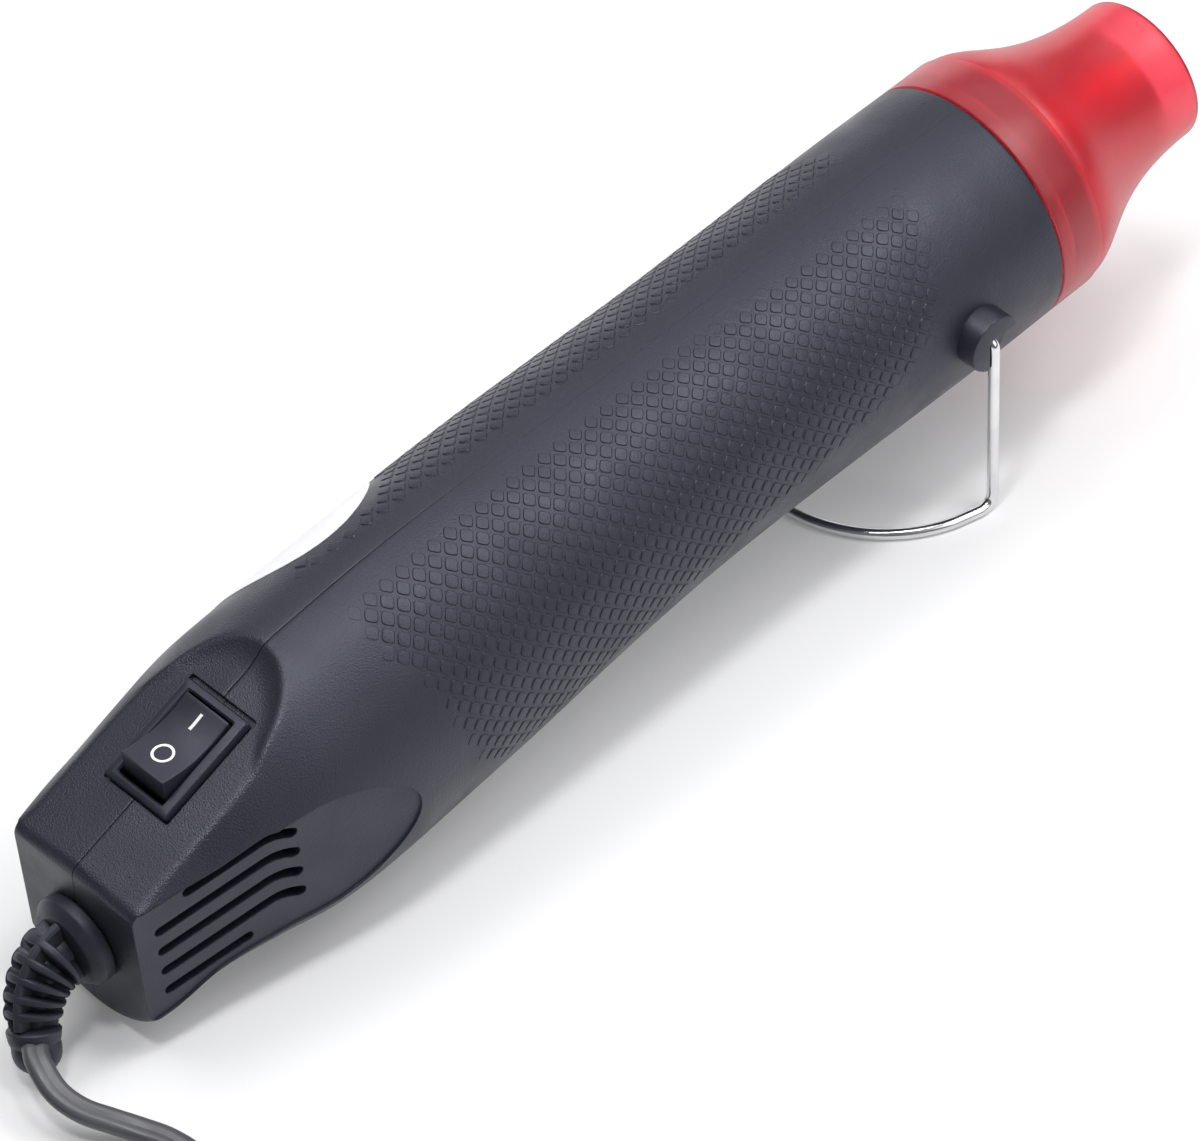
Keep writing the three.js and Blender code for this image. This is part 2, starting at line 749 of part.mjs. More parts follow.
function heaterPieces() {
  const middle = (micaRear + micaFront) / 2;
  const beyond = micaFront - micaRear;
  const quadrant = micaThick / 2 + fit;
  const sensorAt = micaRear + sensorSetback;
  const fuse = disc(sensorAt, sensorAt + fuseLength, fuseRadius, 12);
  const fusePlace = quadrant + fuseRadius;
  const cutoff = box(
    sensorAt, sensorAt + cutoffLength, -quadrant - cutoffSize, -quadrant, -quadrant - cutoffSize, -quadrant,
  );
  const washerFront = bodyLength + spigotLength;
  const upright = formerPlate(-coilPhase, middle - fit, middle + beyond);
  const level = formerPlate(1 / 4 - coilPhase, middle - beyond, middle + fit).rotate([90, 0, 0]);
  return [
    piece('heater_tube', sleeve(tubeRear, tubeFront, tubeBore, tubeRadius, 32), brightSteel()),
    piece('mica_washer', sleeve(washerFront - washerThick, washerFront, tubeRadius + fit,
      spigotRadius - spigotWall - fit, 32), mica()),
    piece('mica_liner', sleeve(linerRear, linerFront, linerOuter - linerWall, linerOuter, 24), mica()),
    piece('mica_plate_upright', upright, mica()),
    piece('mica_plate_level', level, mica()),
    piece('heater_coil', heaterCoil(), resistanceWire()),
    piece('thermal_fuse', fuse.translate([0, fusePlace, fusePlace]), whitePlastic()),
    piece('thermal_cutoff', cutoff, brass()),
  ];
}

// Fan, motor and duct
function airDuct() {
  const throat = tubeRear - fit;
  const spout = tubeBore - fit;
  const inner = spout - ductWall;
  const straight = ductAt + ductStraight;
  const profile = [
    [ductAt, ductRadius],
    [straight, ductRadius],
    [throat - ductWall, tubeRadius],
    [throat, tubeRadius],
    [throat, spout],
    [tubeRear + spoutLength, spout],
    [tubeRear + spoutLength, inner],
    [throat - ductWall, inner],
    [straight, ductRadius - ductWall],
    [ductAt, ductRadius - ductWall],
    [ductAt, ductRadius],
  ];
  return turned(profile, 32);
}

function motorMount() {
  const end = mountAt + mountThick;
  let made = innerSpace(wall + fit, mountAt, end);
  const cup = motorRadius + fit;
  const ring = cup + cupWall;
  const window = sleeve(mountAt - 1, end + 1, ring, ductRadius - ductWall);
  let bars = null;
  for (let k = 0; k < spokes; k += 1) {
    const bar = box(mountAt - 1, end + 1, -spokeWidth / 2, spokeWidth / 2, 0, ductRadius);
    const placed = bar.rotate([(360 * (k + 0.5)) / spokes, 0, 0]);
    bars = bars ? bars.add(placed) : placed;
  }
  made = made.subtract(window.subtract(bars));
  made = made.add(sleeve(mountAt - cupLength, mountAt + overlap, cup, ring, 32));
  return made.subtract(disc(mountAt - 1, end + 1, motorBoss + fit, 20));
}

function fanImpeller() {
  let made = disc(fanAt, fanAt + fanWidth, fanHub, 20);
  const tip = ductRadius - ductWall - fanGap;
  const middle = fanAt + fanWidth / 2;
  const chord = (fanWidth - 2 * bladeThick) / Math.cos(bladePitch);
  for (let k = 0; k < fanBlades; k += 1) {
    const blade = new THREE.BoxGeometry(chord, bladeThick, tip - fanHub + 1);
    blade.rotateZ(bladePitch).translate(middle, 0, (tip + fanHub - 1) / 2);
    blade.rotateX((2 * Math.PI * k) / fanBlades);
    made = made.add(solid(blade));
  }
  const round = disc(fanAt - 1, fanAt + fanWidth + 1, tip, 32);
  return made.intersect(round).subtract(disc(fanAt - 1, fanAt + fanWidth + 1, shaftRadius + fit, 12));
}

function motorPieces() {
  const front = motorAt + motorLength;
  const flats = box(motorAt - 2 * endCapLength, front + 1, -motorRadius, motorRadius, -motorFlat, motorFlat);
  const bossEnd = front + fit + mountThick;
  const bore = shaftRadius + running;
  let can = disc(motorAt, front, motorRadius).intersect(flats);
  can = can.add(disc(front - 1, bossEnd, motorBoss, 20)).subtract(disc(motorAt - 1, bossEnd + 1, bore, 12));
  const capRear = motorAt - fit - endCapLength;
  let cap = disc(capRear, motorAt - fit, motorRadius - fit, 32).intersect(flats);
  cap = cap.subtract(disc(capRear - 1, motorAt, bore, 12));
  const boardFront = capRear - boardGap;
  const boardRear = boardFront - boardThick;
  const feet = [-1, 1].map((side) => {
    const y = side * (motorRadius - 2 * motorBoss);
    return box(boardFront + fit, capRear + overlap, y - 1, y + 1, -1, 1);
  });
  cap = cap.add(feet[0]).add(feet[1]);
  const made = [
    piece('motor_can', can, brightSteel()),
    piece('motor_end_cap', cap, whitePlastic()),
    piece('motor_shaft', disc(capRear + fit, fanAt + fanWidth, shaftRadius, 12), brightSteel()),
    piece('fan_impeller', fanImpeller(), blackPlastic()),
    piece('motor_mount', motorMount(), blackPlastic()),
    piece('air_duct', airDuct(), blackPlastic()),
    piece('rectifier_board', disc(boardRear, boardFront, boardRadius, 24), boardGreen()),
  ];
  for (let k = 0; k < 4; k += 1) {
    const [sy, sz] = [k % 2 ? 1 : -1, k < 2 ? 1 : -1];
    const diode = new THREE.CylinderGeometry(diodeRadius, diodeRadius, diodeLength, 10);
    const x = boardRear - fit - diodeRadius;
    diode.translate(x, sy * diodeSpread, sz * diodeSpread);
    made.push(piece(`diode_${k + 1}`, solid(diode), switchPlastic()));
  }
  return made;
}

// Switch: everything in the sloping face's own frame
function switchPieces() {
  const floor = -seatDepth + fit;
  const frame = outline([
    [-bezelLength / 2, -bezelWidth / 2],
    [bezelLength / 2, -bezelWidth / 2],
    [bezelLength / 2, bezelWidth / 2],
    [-bezelLength / 2, bezelWidth / 2],
  ]);
  const bezelOptions = {
    depth: bezelHeight - bezelBevel,
    bevelThickness: bezelBevel,
    bevelSize: bezelBevel,
    bevelOffset: -bezelBevel,
    bevelSegments: 1,
  };
  const bezel = new THREE.ExtrudeGeometry(frame, bezelOptions).translate(0, 0, floor);
  const under = faceBox(2 * bezelLength, 2 * bezelWidth, floor - bezelBevel - 1, floor);
  let base = solid(onFace(bezel)).subtract(under);
  base = base.add(faceBox(switchLength, switchWidth, floor - switchDepth, floor + overlap));
  const top = floor + bezelHeight;
  base = base.subtract(faceBox(windowLength, windowWidth, top - wellDepth, top + 1));

  const profile = new THREE.Shape();
  profile.moveTo(rockerHigh, rockerTop);
  profile.quadraticCurveTo(rockerHigh / 3, rockerDip, 0, rockerDip);
  profile.quadraticCurveTo(-rockerHigh / 3, rockerDip, -rockerHigh, rockerTop);
  profile.lineTo(-rockerLow, 0);
  profile.lineTo(-rockerLow + fit, -rockerSkirt);
  profile.lineTo(-rockerKeelHalf, -rockerKeel);
  profile.lineTo(rockerKeelHalf, -rockerKeel);
  profile.lineTo(rockerLow - fit, -rockerSkirt);
  profile.lineTo(rockerLow, 0);
  const width = windowWidth - 2 * fit;
  const rocker = new THREE.ExtrudeGeometry(profile, { depth: width, bevelEnabled: false, curveSegments: 4 });
  rocker.rotateX(Math.PI / 2).translate(0, width / 2, 0).rotateY(rockAngle).translate(0, 0, -pivotDepth);

  const made = [
    piece('switch_body', base, switchPlastic()),
    piece('rocker', solid(onFace(rocker)), switchPlastic()),
  ];
  [-1, 1].forEach((side, i) => {
    const low = floor - switchDepth - fit - terminalLength;
    const blade = faceBox(terminalThick, terminalWidth, low, low + terminalLength, side * terminalSpread);
    made.push(piece(`switch_terminal_${i + 1}`, blade, brass()));
  });
  return made;
}

function housingScrews() {
  return posts.map(([x, z], i) => {
    const seat = headSeat + fit;
    const shank = barY(x, z, screwRadius, -screwDepth, seat + 1, 12);
    const head = barY(x, z, screwHead, seat, seat + screwHeadHeight, 16);
    return piece(`housing_screw_${i + 1}`, shank.add(head), brightSteel());
  });
}

// Wire stand. The foot's loop lies level on the floor once the tool stands at its tilt.
function kickstand(tilt) {
  const down = new THREE.Vector3(-Math.sin(legLean), 0, -Math.cos(legLean));
  const back = new THREE.Vector3(-Math.cos(tilt), 0, Math.sin(tilt));
  const axis = new THREE.Vector3(lugAt, 0, lugHeight);
  const foot = axis.clone().addScaledVector(down, legLength);
  const left = new THREE.Vector3(0, 1, 0);
  const bend = (corner, before, after, radius, steps) =>
    Array.from({ length: steps + 1 }, (_, k) => {
      const t = k / steps;
      const start = corner.clone().addScaledVector(before, -radius);
      const end = corner.clone().addScaledVector(after, radius);
      return start.multiplyScalar((1 - t) ** 2)
        .add(corner.clone().multiplyScalar(2 * t * (1 - t)))
        .add(end.multiplyScalar(t * t));
    });
  const side = (sign) => {
    const out = left.clone().multiplyScalar(sign);
    const top = axis.clone().addScaledVector(out, wireHalfSpan);
    const heel = foot.clone().addScaledVector(out, wireHalfSpan);
    const pinEnd = top.clone().addScaledVector(out, -wirePin);
    return [pinEnd, ...bend(top, out, down, wireBend, 3), ...bend(heel, down, back, footBend, 4)];
  };
  const loopSteps = 20;
  const loop = [];
  for (let k = 2; k < loopSteps - 1; k += 1) {
    const angle = (Math.PI * k) / loopSteps;
    const point = foot.clone().addScaledVector(left, -wireHalfSpan * Math.cos(angle));
    loop.push(point.addScaledVector(back, footReach * Math.sin(angle)));
  }
  const line = [...side(-1), ...loop, ...side(1).reverse()];
  return loft(ringsAlong(line, () => oval(wireRadius, wireRadius, 8), new THREE.Vector3(1, 0, 0)));
}

// Angle at which the lowest corner of the tail and the foot's loop are level
function standingTilt(shellMeshes) {
  const footX = lugAt - legLength * Math.sin(legLean);
  const footZ = lugHeight - legLength * Math.cos(legLean);
  let tilt = 0;
  for (let round = 0; round < 6; round += 1) {
    let [lowest, lowX] = [Infinity, 0];
    for (const mesh of shellMeshes) {
      const places = mesh.geometry.getAttribute('position');
      for (let i = 0; i < places.count; i += 1) {
        if (places.getX(i) > flankAt) continue;
        const height = places.getX(i) * Math.sin(tilt) + places.getZ(i) * Math.cos(tilt);
        if (height < lowest) [lowest, lowX] = [height, places.getX(i)];
      }
    }
    const footHeight = footX * Math.sin(tilt) + footZ * Math.cos(tilt) - wireRadius;
    tilt += (lowest - footHeight) / (footX - lowX);
  }
  return tilt;
}

// Strain relief: flange and groove in the rear wall, then a ribbed boot that bends to the right
const bootStart = new THREE.Vector3(-fit - bootFlangeThick, 0, cordHeight);
const bootCurve = new THREE.CubicBezierCurve3(
  bootStart,
  ...bootBend.map(([x, y, z]) => new THREE.Vector3(x, y, z).add(bootStart)),
);

function strainRelief() {
  const ringsPerRib = 4;
  const count = bootRibs * ringsPerRib;
  const line = Array.from({ length: count + 1 }, (_, i) => bootCurve.getPoint(i / count));
  line.unshift(line[0].clone().add(new THREE.Vector3(overlap, 0, 0)));
  const radius = (i) => {
    const t = Math.max(i - 1, 0) / count;
    const inRib = (i - 1) % ringsPerRib < ringsPerRib / 2 || i === count + 1;
    return bootRoot + (bootTip - bootRoot) * t - (inRib ? 0 : ribDepth);
  };
  const boot = loft(ringsAlong(line, (i) => oval(radius(i), radius(i), 12), new THREE.Vector3(0, 0, 1)));
  const inside = wall + fit;
  const fittings = disc(-fit - bootFlangeThick, -fit, bootFlange, 28)
    .add(disc(-fit - overlap, inside + overlap, bootNeck, 24))
    .add(disc(inside, inside + bootInnerThick, bootInner, 24));
  return boot.add(fittings.translate([0, 0, cordHeight]));
}

// Lead, in the frame that it lies in: Z is up from the floor
function leadPieces(tip, heading) {
  const level = coilLift + cordThick / 2;
  const start = tip.clone().addScaledVector(heading, fit);
  const route = cordRoute.map(([x, y, fall]) => new THREE.Vector3(tip.x + x, tip.y + y, level + fall));
  const end = route[route.length - 1];
  const points = [start, start.clone().addScaledVector(heading, cordThick), ...route];
  const path = new THREE.CatmullRomCurve3(points, false, 'centripetal');
  const section = new THREE.Shape();
  section.absellipse(0, 0, cordThick / 2, cordWidth / 2, 0, 2 * Math.PI);
  const cord = new THREE.ExtrudeGeometry(section, { steps: 36, curveSegments: 3, extrudePath: path });

  const centre = new THREE.Vector3(end.x - fit - cordWidth, end.y + coilOuter, 0);
  const rate = coilStep / (2 * Math.PI);
  const inner = coilOuter - coilStep * turnsIn;
  const place = (r, angle, z) =>
    new THREE.Vector3(centre.x + r * Math.cos(angle), centre.y + r * Math.sin(angle), z);
  const line = [new THREE.Vector3(end.x - fit, end.y, level)];
  const stepAngle = (2 * Math.PI) / loopSteps;
  const inSteps = Math.round(turnsIn * loopSteps);
  const climbSteps = loopSteps / 2;
  const outSteps = Math.round(turnsOut * loopSteps);
  let angle = -Math.PI / 2;
  for (let i = 0; i <= inSteps; i += 1) {
    line.push(place(coilOuter - rate * stepAngle * i, angle - stepAngle * i, level));
  }
  angle -= stepAngle * inSteps;
  for (let i = 1; i <= climbSteps; i += 1) {
    const gone = stepAngle * i;
    const r = inner - rate * Math.min(gone, Math.PI - gone);
    const rise = THREE.MathUtils.smoothstep(gone, climbFrom, Math.PI - climbFrom);
    line.push(place(r, angle - gone, level + coilLayer * rise));
  }
  angle -= Math.PI;
  for (let i = 1; i <= outSteps; i += 1) {
    line.push(place(inner + rate * stepAngle * i, angle - stepAngle * i, level + coilLayer));
  }
  const last = line[line.length - 1];
  line.push(new THREE.Vector3(last.x - coilTail, last.y, last.z));
  const up = new THREE.Vector3(0, 0, 1);
  const turns = loft(ringsAlong(line, () => oval(cordWidth / 2, cordThick / 2, 6), up));
  console.log('coil: least gap between turns', leastGap(line).toFixed(2), 'mm, length',
    (path.getLength() + lengthOf(line)).toFixed(0), 'mm');

  const tieInner = centre.y + inner - cordWidth / 2 - tieSlack;
  const tieOuter = centre.y + coilOuter - coilStep / 2 + cordWidth / 2 + fit;
  const tieLow = coilLift - fit;
  const tieHigh = level + coilLayer + cordThick / 2 + fit;
  const tieBox = (width, grow) => {
    const x0 = centre.x - width / 2;
    return box(x0, x0 + width, tieInner - grow, tieOuter + grow, tieLow - grow, tieHigh + grow);
  };
  const tie = tieBox(tieWidth, tieThick).subtract(tieBox(2 * tieWidth, 0));

  const plugRear = last.x - coilTail - fit;
  const plugFront = plugRear - plugLength;
  const plugMiddle = plugHeight / 2;
  const plugRings = [[0, plugWaist], [0.3, 0.7], [0.55, 0.95], [0.8, 1], [1, 0.96]].map(([t, grow]) =>
    oval((plugWidth / 2) * grow, (plugHeight / 2) * Math.min(grow + 0.04, 1), 16)
      .map(([s, r]) => new THREE.Vector3(plugRear - plugLength * t, last.y + s, plugMiddle + r)));
  const made = [
    piece('cord', solid(cord), bootRubber()),
    piece('cord_coil', turns, bootRubber()),
    piece('cord_tie', tie, blackPlastic()),
    piece('plug_body', loft(plugRings), bootRubber()),
  ];
  [-1, 1].forEach((side, i) => {
    const y = last.y + side * pinSpread;
    const blade = box(plugFront - fit - bladeLength, plugFront - fit, y - pinThick / 2, y + pinThick / 2,
      plugMiddle - bladeHeight / 2, plugMiddle + bladeHeight / 2);
    made.push(piece(`plug_blade_${i + 1}`, blade, brass()));
  });
  return made;
}

function lengthOf(line) {
  let sum = 0;
  for (let i = 1; i < line.length; i += 1) sum += line[i].distanceTo(line[i - 1]);
  return sum;
}

// Least gap between the turns of a flat lead, on the points of its centre line: beside each other
// they lie a width apart, and on each other a thickness
function leastGap(line) {
  let least = Infinity;
  for (let i = 0; i < line.length; i += 1) {
    for (let k = i + loopSteps / 2; k < line.length; k += 1) {
      const across = Math.hypot(line[i].x - line[k].x, line[i].y - line[k].y) - cordWidth;
      const rise = Math.abs(line[i].z - line[k].z) - cordThick;
      least = Math.min(least, Math.max(across, rise));
    }
  }
  return least;
}

// Assembly
const shellMeshes = shells();
const tilt = standingTilt(shellMeshes);
const tool = new THREE.Group();
tool.rotation.y = -tilt;
tool.add(
  ...shellMeshes,
  piece('nozzle_guard', nozzleGuard(), redPlastic()),
  ...heaterPieces(),
  ...motorPieces(),
  ...switchPieces(),
  ...housingScrews(),
  piece('kickstand', kickstand(tilt), brightSteel()),
);

// The origin is under the middle of the tool, on the floor
tool.updateMatrixWorld(true);
const extent = new THREE.Box3().setFromObject(tool, true);
tool.position.set(-(extent.min.x + extent.max.x) / 2, -(extent.min.y + extent.max.y) / 2, -extent.min.z);
tool.add(piece('strain_relief', strainRelief(), bootRubber()));
tool.updateMatrixWorld(true);

const bootEnd = tool.localToWorld(bootCurve.getPoint(1));
const bootHeading = bootCurve.getTangent(1).transformDirection(tool.matrixWorld);
const hotAirTool = new THREE.Group();
hotAirTool.add(tool, ...leadPieces(bootEnd, bootHeading));

export default hotAirTool;
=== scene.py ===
"""Looks of the hot air tool: moulded body with grip pads, translucent guard, rocker switch, wire
stand, ribbed boot and a flat twin lead put away as a coil.

Sizes are millimetres in the tool's own frame, with X forward from the rear face along the axis of
the nozzle, Y to the left and Z up to the switch. make() turns them into the row frame, in metres.
"""

import json
import math

import bmesh
import bpy
import numpy as np
from mathutils import Matrix, Vector


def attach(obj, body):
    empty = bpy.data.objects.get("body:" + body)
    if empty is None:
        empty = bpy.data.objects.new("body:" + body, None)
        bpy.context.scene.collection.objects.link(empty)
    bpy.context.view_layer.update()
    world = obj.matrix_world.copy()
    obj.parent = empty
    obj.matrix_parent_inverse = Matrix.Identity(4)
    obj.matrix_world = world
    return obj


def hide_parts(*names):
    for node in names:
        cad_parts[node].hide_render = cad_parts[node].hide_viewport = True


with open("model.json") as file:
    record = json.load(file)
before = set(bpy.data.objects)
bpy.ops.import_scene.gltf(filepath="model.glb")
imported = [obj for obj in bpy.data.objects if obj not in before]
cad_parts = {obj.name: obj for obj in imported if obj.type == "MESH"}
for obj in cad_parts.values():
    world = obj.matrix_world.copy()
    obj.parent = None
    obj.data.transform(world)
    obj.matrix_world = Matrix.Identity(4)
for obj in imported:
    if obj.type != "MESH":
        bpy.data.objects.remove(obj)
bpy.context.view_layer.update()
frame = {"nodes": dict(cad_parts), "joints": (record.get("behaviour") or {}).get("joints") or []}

MM = 0.001
IMAGE_WIDTH = 1200  # pixels of the photograph's frame

# The tool's frame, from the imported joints
LUG_AT, LUG_HEIGHT = 188.0, 0.3
joints = {joint["name"]: joint for joint in frame["joints"]}
spin = joints["fan_spin"]["axis"]
TILT = math.atan2(spin[2], spin[0])
nose_up = Matrix.Rotation(-TILT, 4, "Y")
lug_place = Vector(joints["stand_swing"]["pos_m"])
TOOL = Matrix.Translation(lug_place - nose_up @ (Vector((LUG_AT, 0, LUG_HEIGHT)) * MM)) @ nose_up

# Body
BODY_LENGTH = 209.0
BODY_RADIUS = 24.0
WALL = 2.2
REAR_ROUND = 1.8
REAR_HALF = 15.0
FLANK_RISE = (24.3 - 15.0) / 52.0
LEAF_STEP = 0.45
EDGE_ROUND = 0.6
FACE_REAR = 3.9
FACE_SLOPE = math.radians(20)
FACE_ROUND_FROM, FACE_ROUND_LENGTH, FACE_HALF = 25.0, 21.4, 15.5
FACE_FILLET, FILLET_RUN, FACE_BANK = 4.5, 10, 4
FACE_CROWN, CROWN_ROUND, CROWN_REACH = 0.9, 0.05, 1.2
SEAM_HALF = 0.045
# Distance from the rear face, half width, crown, belly, widest height
SECTIONS = np.array([
    (0, 21, 7.4, -30.6, -7), (5, 21, 9.2, -31, -7), (14, 20.9, 13.8, -29.8, -7),
    (26, 22.5, 18.1, -31, -7), (38, 24.4, 20.9, -32.9, -7), (50, 24.7, 22.4, -33.1, -6.6),
    (68, 24.4, 24, -31.9, -4.6), (84, 24.3, 24.4, -29.9, -3), (104, 24.2, 24.2, -26.2, -1),
    (125, 23.8, 23.8, -24, 0), (148, 23.6, 23.6, -23.6, 0), (191, 24.1, 24.1, -24.1, 0),
    (209, 24, 24, -24, 0),
])

# Screw posts: distance from the rear face, height, and whether the well on the left shows. One is under
# the label, and one is closed over, as the photograph has pads there.
SCREW_POSTS = [(60.0, 16.4, False), (60.0, -22.0, True), (176.0, 17.0, False), (176.0, -17.0, True)]
POST_RADIUS, WELL_RADIUS, SCREW_HOLE, HEAD_SEAT, POST_SIDES = 4.2, 2.9, 1.7, 6.0, 32
POST_SINK = 0.65  # share of the wall outside a post's end
WELL_MARGIN, WELL_STRETCH = 1.7, 1.42  # room among the pads, and how far the curve draws a well out
OUTSIDE = 45.0  # farther to the side than the body

# Vent slots
SLOT_COUNT, SLOT_WIDTH, SLOT_PITCH, SLOT_INNER = 5, 2.1, 4.95, 7.5
SLOT_REAR, SLOT_FRONT, SLOT_BEND, SLOT_DROOP = 3.6, 31.4, 24.5, 1.7
SLOT_TOP, SLOT_SLOPE = 1.7, 0.135
TOP_SLOT_REAR, LOW_SLOT_FRONT = 9.6, 20.8

# Grip pads
PAD_PITCH, PAD_SIZE, PAD_CORNER, PAD_RISE = 2.6, 2.14, 0.5, 0.17
PAD_MIDDLE, PAD_REACH, PAD_FADE = 120, 90, 2.2
PAD_LAYERS = [(1.0, -0.5), (1.0, 0.05), (0.88, 0.95), (0.83, 1.0)]  # size, share of the rise
# Border of the right field: distance from the rear face, degrees from the top
GRIP_BORDER = [
    (59, 12), (83, 10), (118, 10), (152, 12.8), (176, 15.5), (188, 17.5), (186.6, 30),
    (183.7, 45), (181.5, 62), (177, 76), (166, 88), (150, 97), (128, 106), (104, 114),
    (86, 119), (74, 116), (69, 104), (66, 84), (63.4, 62), (61.4, 45), (58.8, 30),
]

# Label on the left: distance from the rear face, degrees from the top, half length, half height
LABEL_AT, LABEL_DEGREES, LABEL_LONG, LABEL_HIGH = 68.0, 56.0, 17.5, 15.3
LABEL_MARGIN, LABEL_RINGS = 1.5, 12
LABEL_BACK, LABEL_FRONT = -0.05, 0.14

# Switch
SWITCH_AT = 24.7
SEAT_LENGTH, SEAT_WIDTH, SEAT_DEPTH, SEAT_AHEAD = 22.3, 15.7, 1.3, 0.35
BEZEL_LENGTH, BEZEL_WIDTH, BEZEL_HEIGHT = 21.0, 15.0, 2.0
SWITCH_LENGTH, SWITCH_WIDTH, SWITCH_DEPTH = 18.6, 12.6, 14.0
WINDOW_LENGTH, WINDOW_WIDTH, WELL_DEPTH = 17.6, 10.8, 9.0
ROCK_ANGLE = math.radians(12)
PIVOT_DEPTH = 1.5

# Wire stand
WIRE_RADIUS, WIRE_HALF_SPAN, WIRE_PIN, WIRE_BEND = 1.05, 27.4, 7.0, 1.7
LEG_LENGTH, LEG_LEAN, FOOT_BEND, FOOT_REACH = 39.0, math.radians(2.85), 3.0, 26.4
LUG_RADIUS, LUG_PROUD, LOW_LUG_PROUD, NOTCH_FLOOR = 5.6, 3.7, 1.0, 1.2
SWELL_RADIUS, WIRE_ROOM = 24.1, 0.4

# Guard
GUARD_LENGTH, GUARD_WALL, BAND_LENGTH, MOUTH_RADIUS = 45.3, 1.7, 10.0, 14.2
FLARE_START, FLARE_END = 6.5, 22.8
BAND_STEP = 0.3
SPIGOT_WALL, FIT = 2.0, 0.3

# Boot and lead
CORD_HEIGHT = -12.3
BOOT_FLANGE, BOOT_FLANGE_THICK, BOOT_ROOT, BOOT_TIP = 8.5, 4.0, 6.4, 4.1
# Handles of the boot's line from its flange: as it sags, and as the solid bends to where the lead starts
BOOT_SAG = [(-7.4, 0.2, -0.2), (-10.5, -2.4, -6.4), (-12.05, -4.9, -10.9)]
BOOT_BEND = [(-7.4, 0.2, -0.2), (-9.3, 0.4, -6.5), (-13.3, -6.4, -7.7)]
BOOT_STEPS, BOOT_RINGS, BOOT_RINGS_END = 141, 5, 0.77
BOOT_RING_HALF, BOOT_RING_FALL, BOOT_CORE = 0.028, 0.25, 0.43
# Collar past the rings: share of the line that it swells over, size, where it closes and by how much
COLLAR_RISE, COLLAR_SIZE, COLLAR_END, COLLAR_CLOSE = 0.04, 1.03, 0.88, 0.9
# Spines: degrees from the left, half width, notched between the rings or not
BOOT_SPINES = [(88, 0.8, False), (30, 1.7, True), (225, 1.3, True), (300, 1.3, False)]
SPINE_SINK, SPINE_NOTCH, SPINE_DEPTH, SPINE_ROUND = 0.07, 0.7, 4.0, 0.35
BOOT_END_TURN = np.array((-0.55, -0.8, 0.24))
BOOT_END_RADIUS, BOOT_END_HALF, BOOT_END_SQUARE = 4.25, 3.6, 2.6
CORD_WIDTH, CORD_THICK = 4.6, 2.8
# Places from under the boot's tip, with the height that is still to fall
CORD_ROUTE = [
    (-2.6, -8.1, 5), (-1.4, -12.7, 3.2), (1.3, -16.8, 1.6), (3.8, -20.8, 0.5),
    (5.9, -25.7, 0), (6.3, -32.2, 0), (2.7, -38.2, 0), (-4.3, -41.5, 0),
    (-12.9, -42.2, 0), (-25.9, -42.2, 0), (-38.9, -42.2, 0), (-50.9, -42.2, 0),
]
ROUTE_STEPS, COIL_STEPS = 6, 3  # of the curve, from each place to the next
COIL_OUTER, COIL_STEP, COIL_LAYER, COIL_LIFT, COIL_TAIL = 40.5, 6.2, 3.4, 1.3, 32.0
TURNS_IN, TURNS_OUT, LOOP_STEPS = 3.5, 3.0, 24
CLIMB_FROM = 0.38 * math.pi
TIE_THICK, TIE_SLACK, TIE_WIDTH, TIE_CORNER, TIE_EDGE = 0.7, 0.9, 6.0, 1.2, 0.15
PLUG_LENGTH, PLUG_WIDTH, PLUG_HEIGHT, PLUG_SQUARE, PLUG_RIB = 26.0, 18.0, 12.0, 0.72, 0.036
# Plug: share of its length, share of its width
PLUG_FORM = np.array([
    (0, 0.5), (0.02, 0.56), (0.1, 0.6), (0.2, 0.62), (0.3, 0.7), (0.42, 0.86), (0.55, 0.95),
    (0.7, 0.99), (0.85, 1.0), (0.95, 0.98), (0.99, 0.94), (1.0, 0.9),
])


# Shader helpers
RAMP_ENDS = (0.35, 0.65)
GLOSS_SPREAD, LEAST_ROUGHNESS = 0.06, 0.03
# Rubbed rim of the switch's scoop: sideways lean from none to full and back, how far it faces up, and
# the distances from the rear face that it fades between
RIM_LEAN, RIM_FACING, RIM_FADE, RIM_ROUGHNESS = (0.1, 0.24, 0.38, 0.52), (0.5, 0.7), (48, 40), 0.29
BLACK, WHITE = (0, 0, 0, 1), (1, 1, 1, 1)


def fill(node, values):
    """Sets sockets of a node to constants."""
    for key, value in values.items():
        node.inputs[key].default_value = value


def material(name, color, roughness, metallic=0.0):
    made = bpy.data.materials.new(name)
    made.use_nodes = True
    shader = made.node_tree.nodes["Principled BSDF"]
    fill(shader, {"Base Color": (*color, 1), "Roughness": roughness, "Metallic": metallic})
    return made, made.node_tree.nodes, made.node_tree.links, shader


def noise(nodes, links, scale, detail, stretch=(1, 1, 1)):
    place = nodes.new("ShaderNodeTexCoord")
    mapping = nodes.new("ShaderNodeMapping")
    made = nodes.new("ShaderNodeTexNoise")
    fill(mapping, {"Scale": stretch})
    fill(made, {"Scale": scale, "Detail": detail})
    links.new(place.outputs["Object"], mapping.inputs["Vector"])
    links.new(mapping.outputs["Vector"], made.inputs["Vector"])
    return made.outputs["Fac"]


def ramp(nodes, links, source, low, high):
    made = nodes.new("ShaderNodeValToRGB")
    for stop, color, place in zip(made.color_ramp.elements, (low, high), RAMP_ENDS):
        stop.color, stop.position = (*color, 1), place
    links.new(source, made.inputs["Fac"])
    return made.outputs["Color"]


def worked_out(nodes, links, operation, *sources):
    """A math node fed by sockets or numbers."""
    made = nodes.new("ShaderNodeMath")
    made.operation = operation
    for entry, source in zip(made.inputs, sources):
        if isinstance(source, float):
            entry.default_value = source
        else:
            links.new(source, entry)
    return made.outputs["Value"]


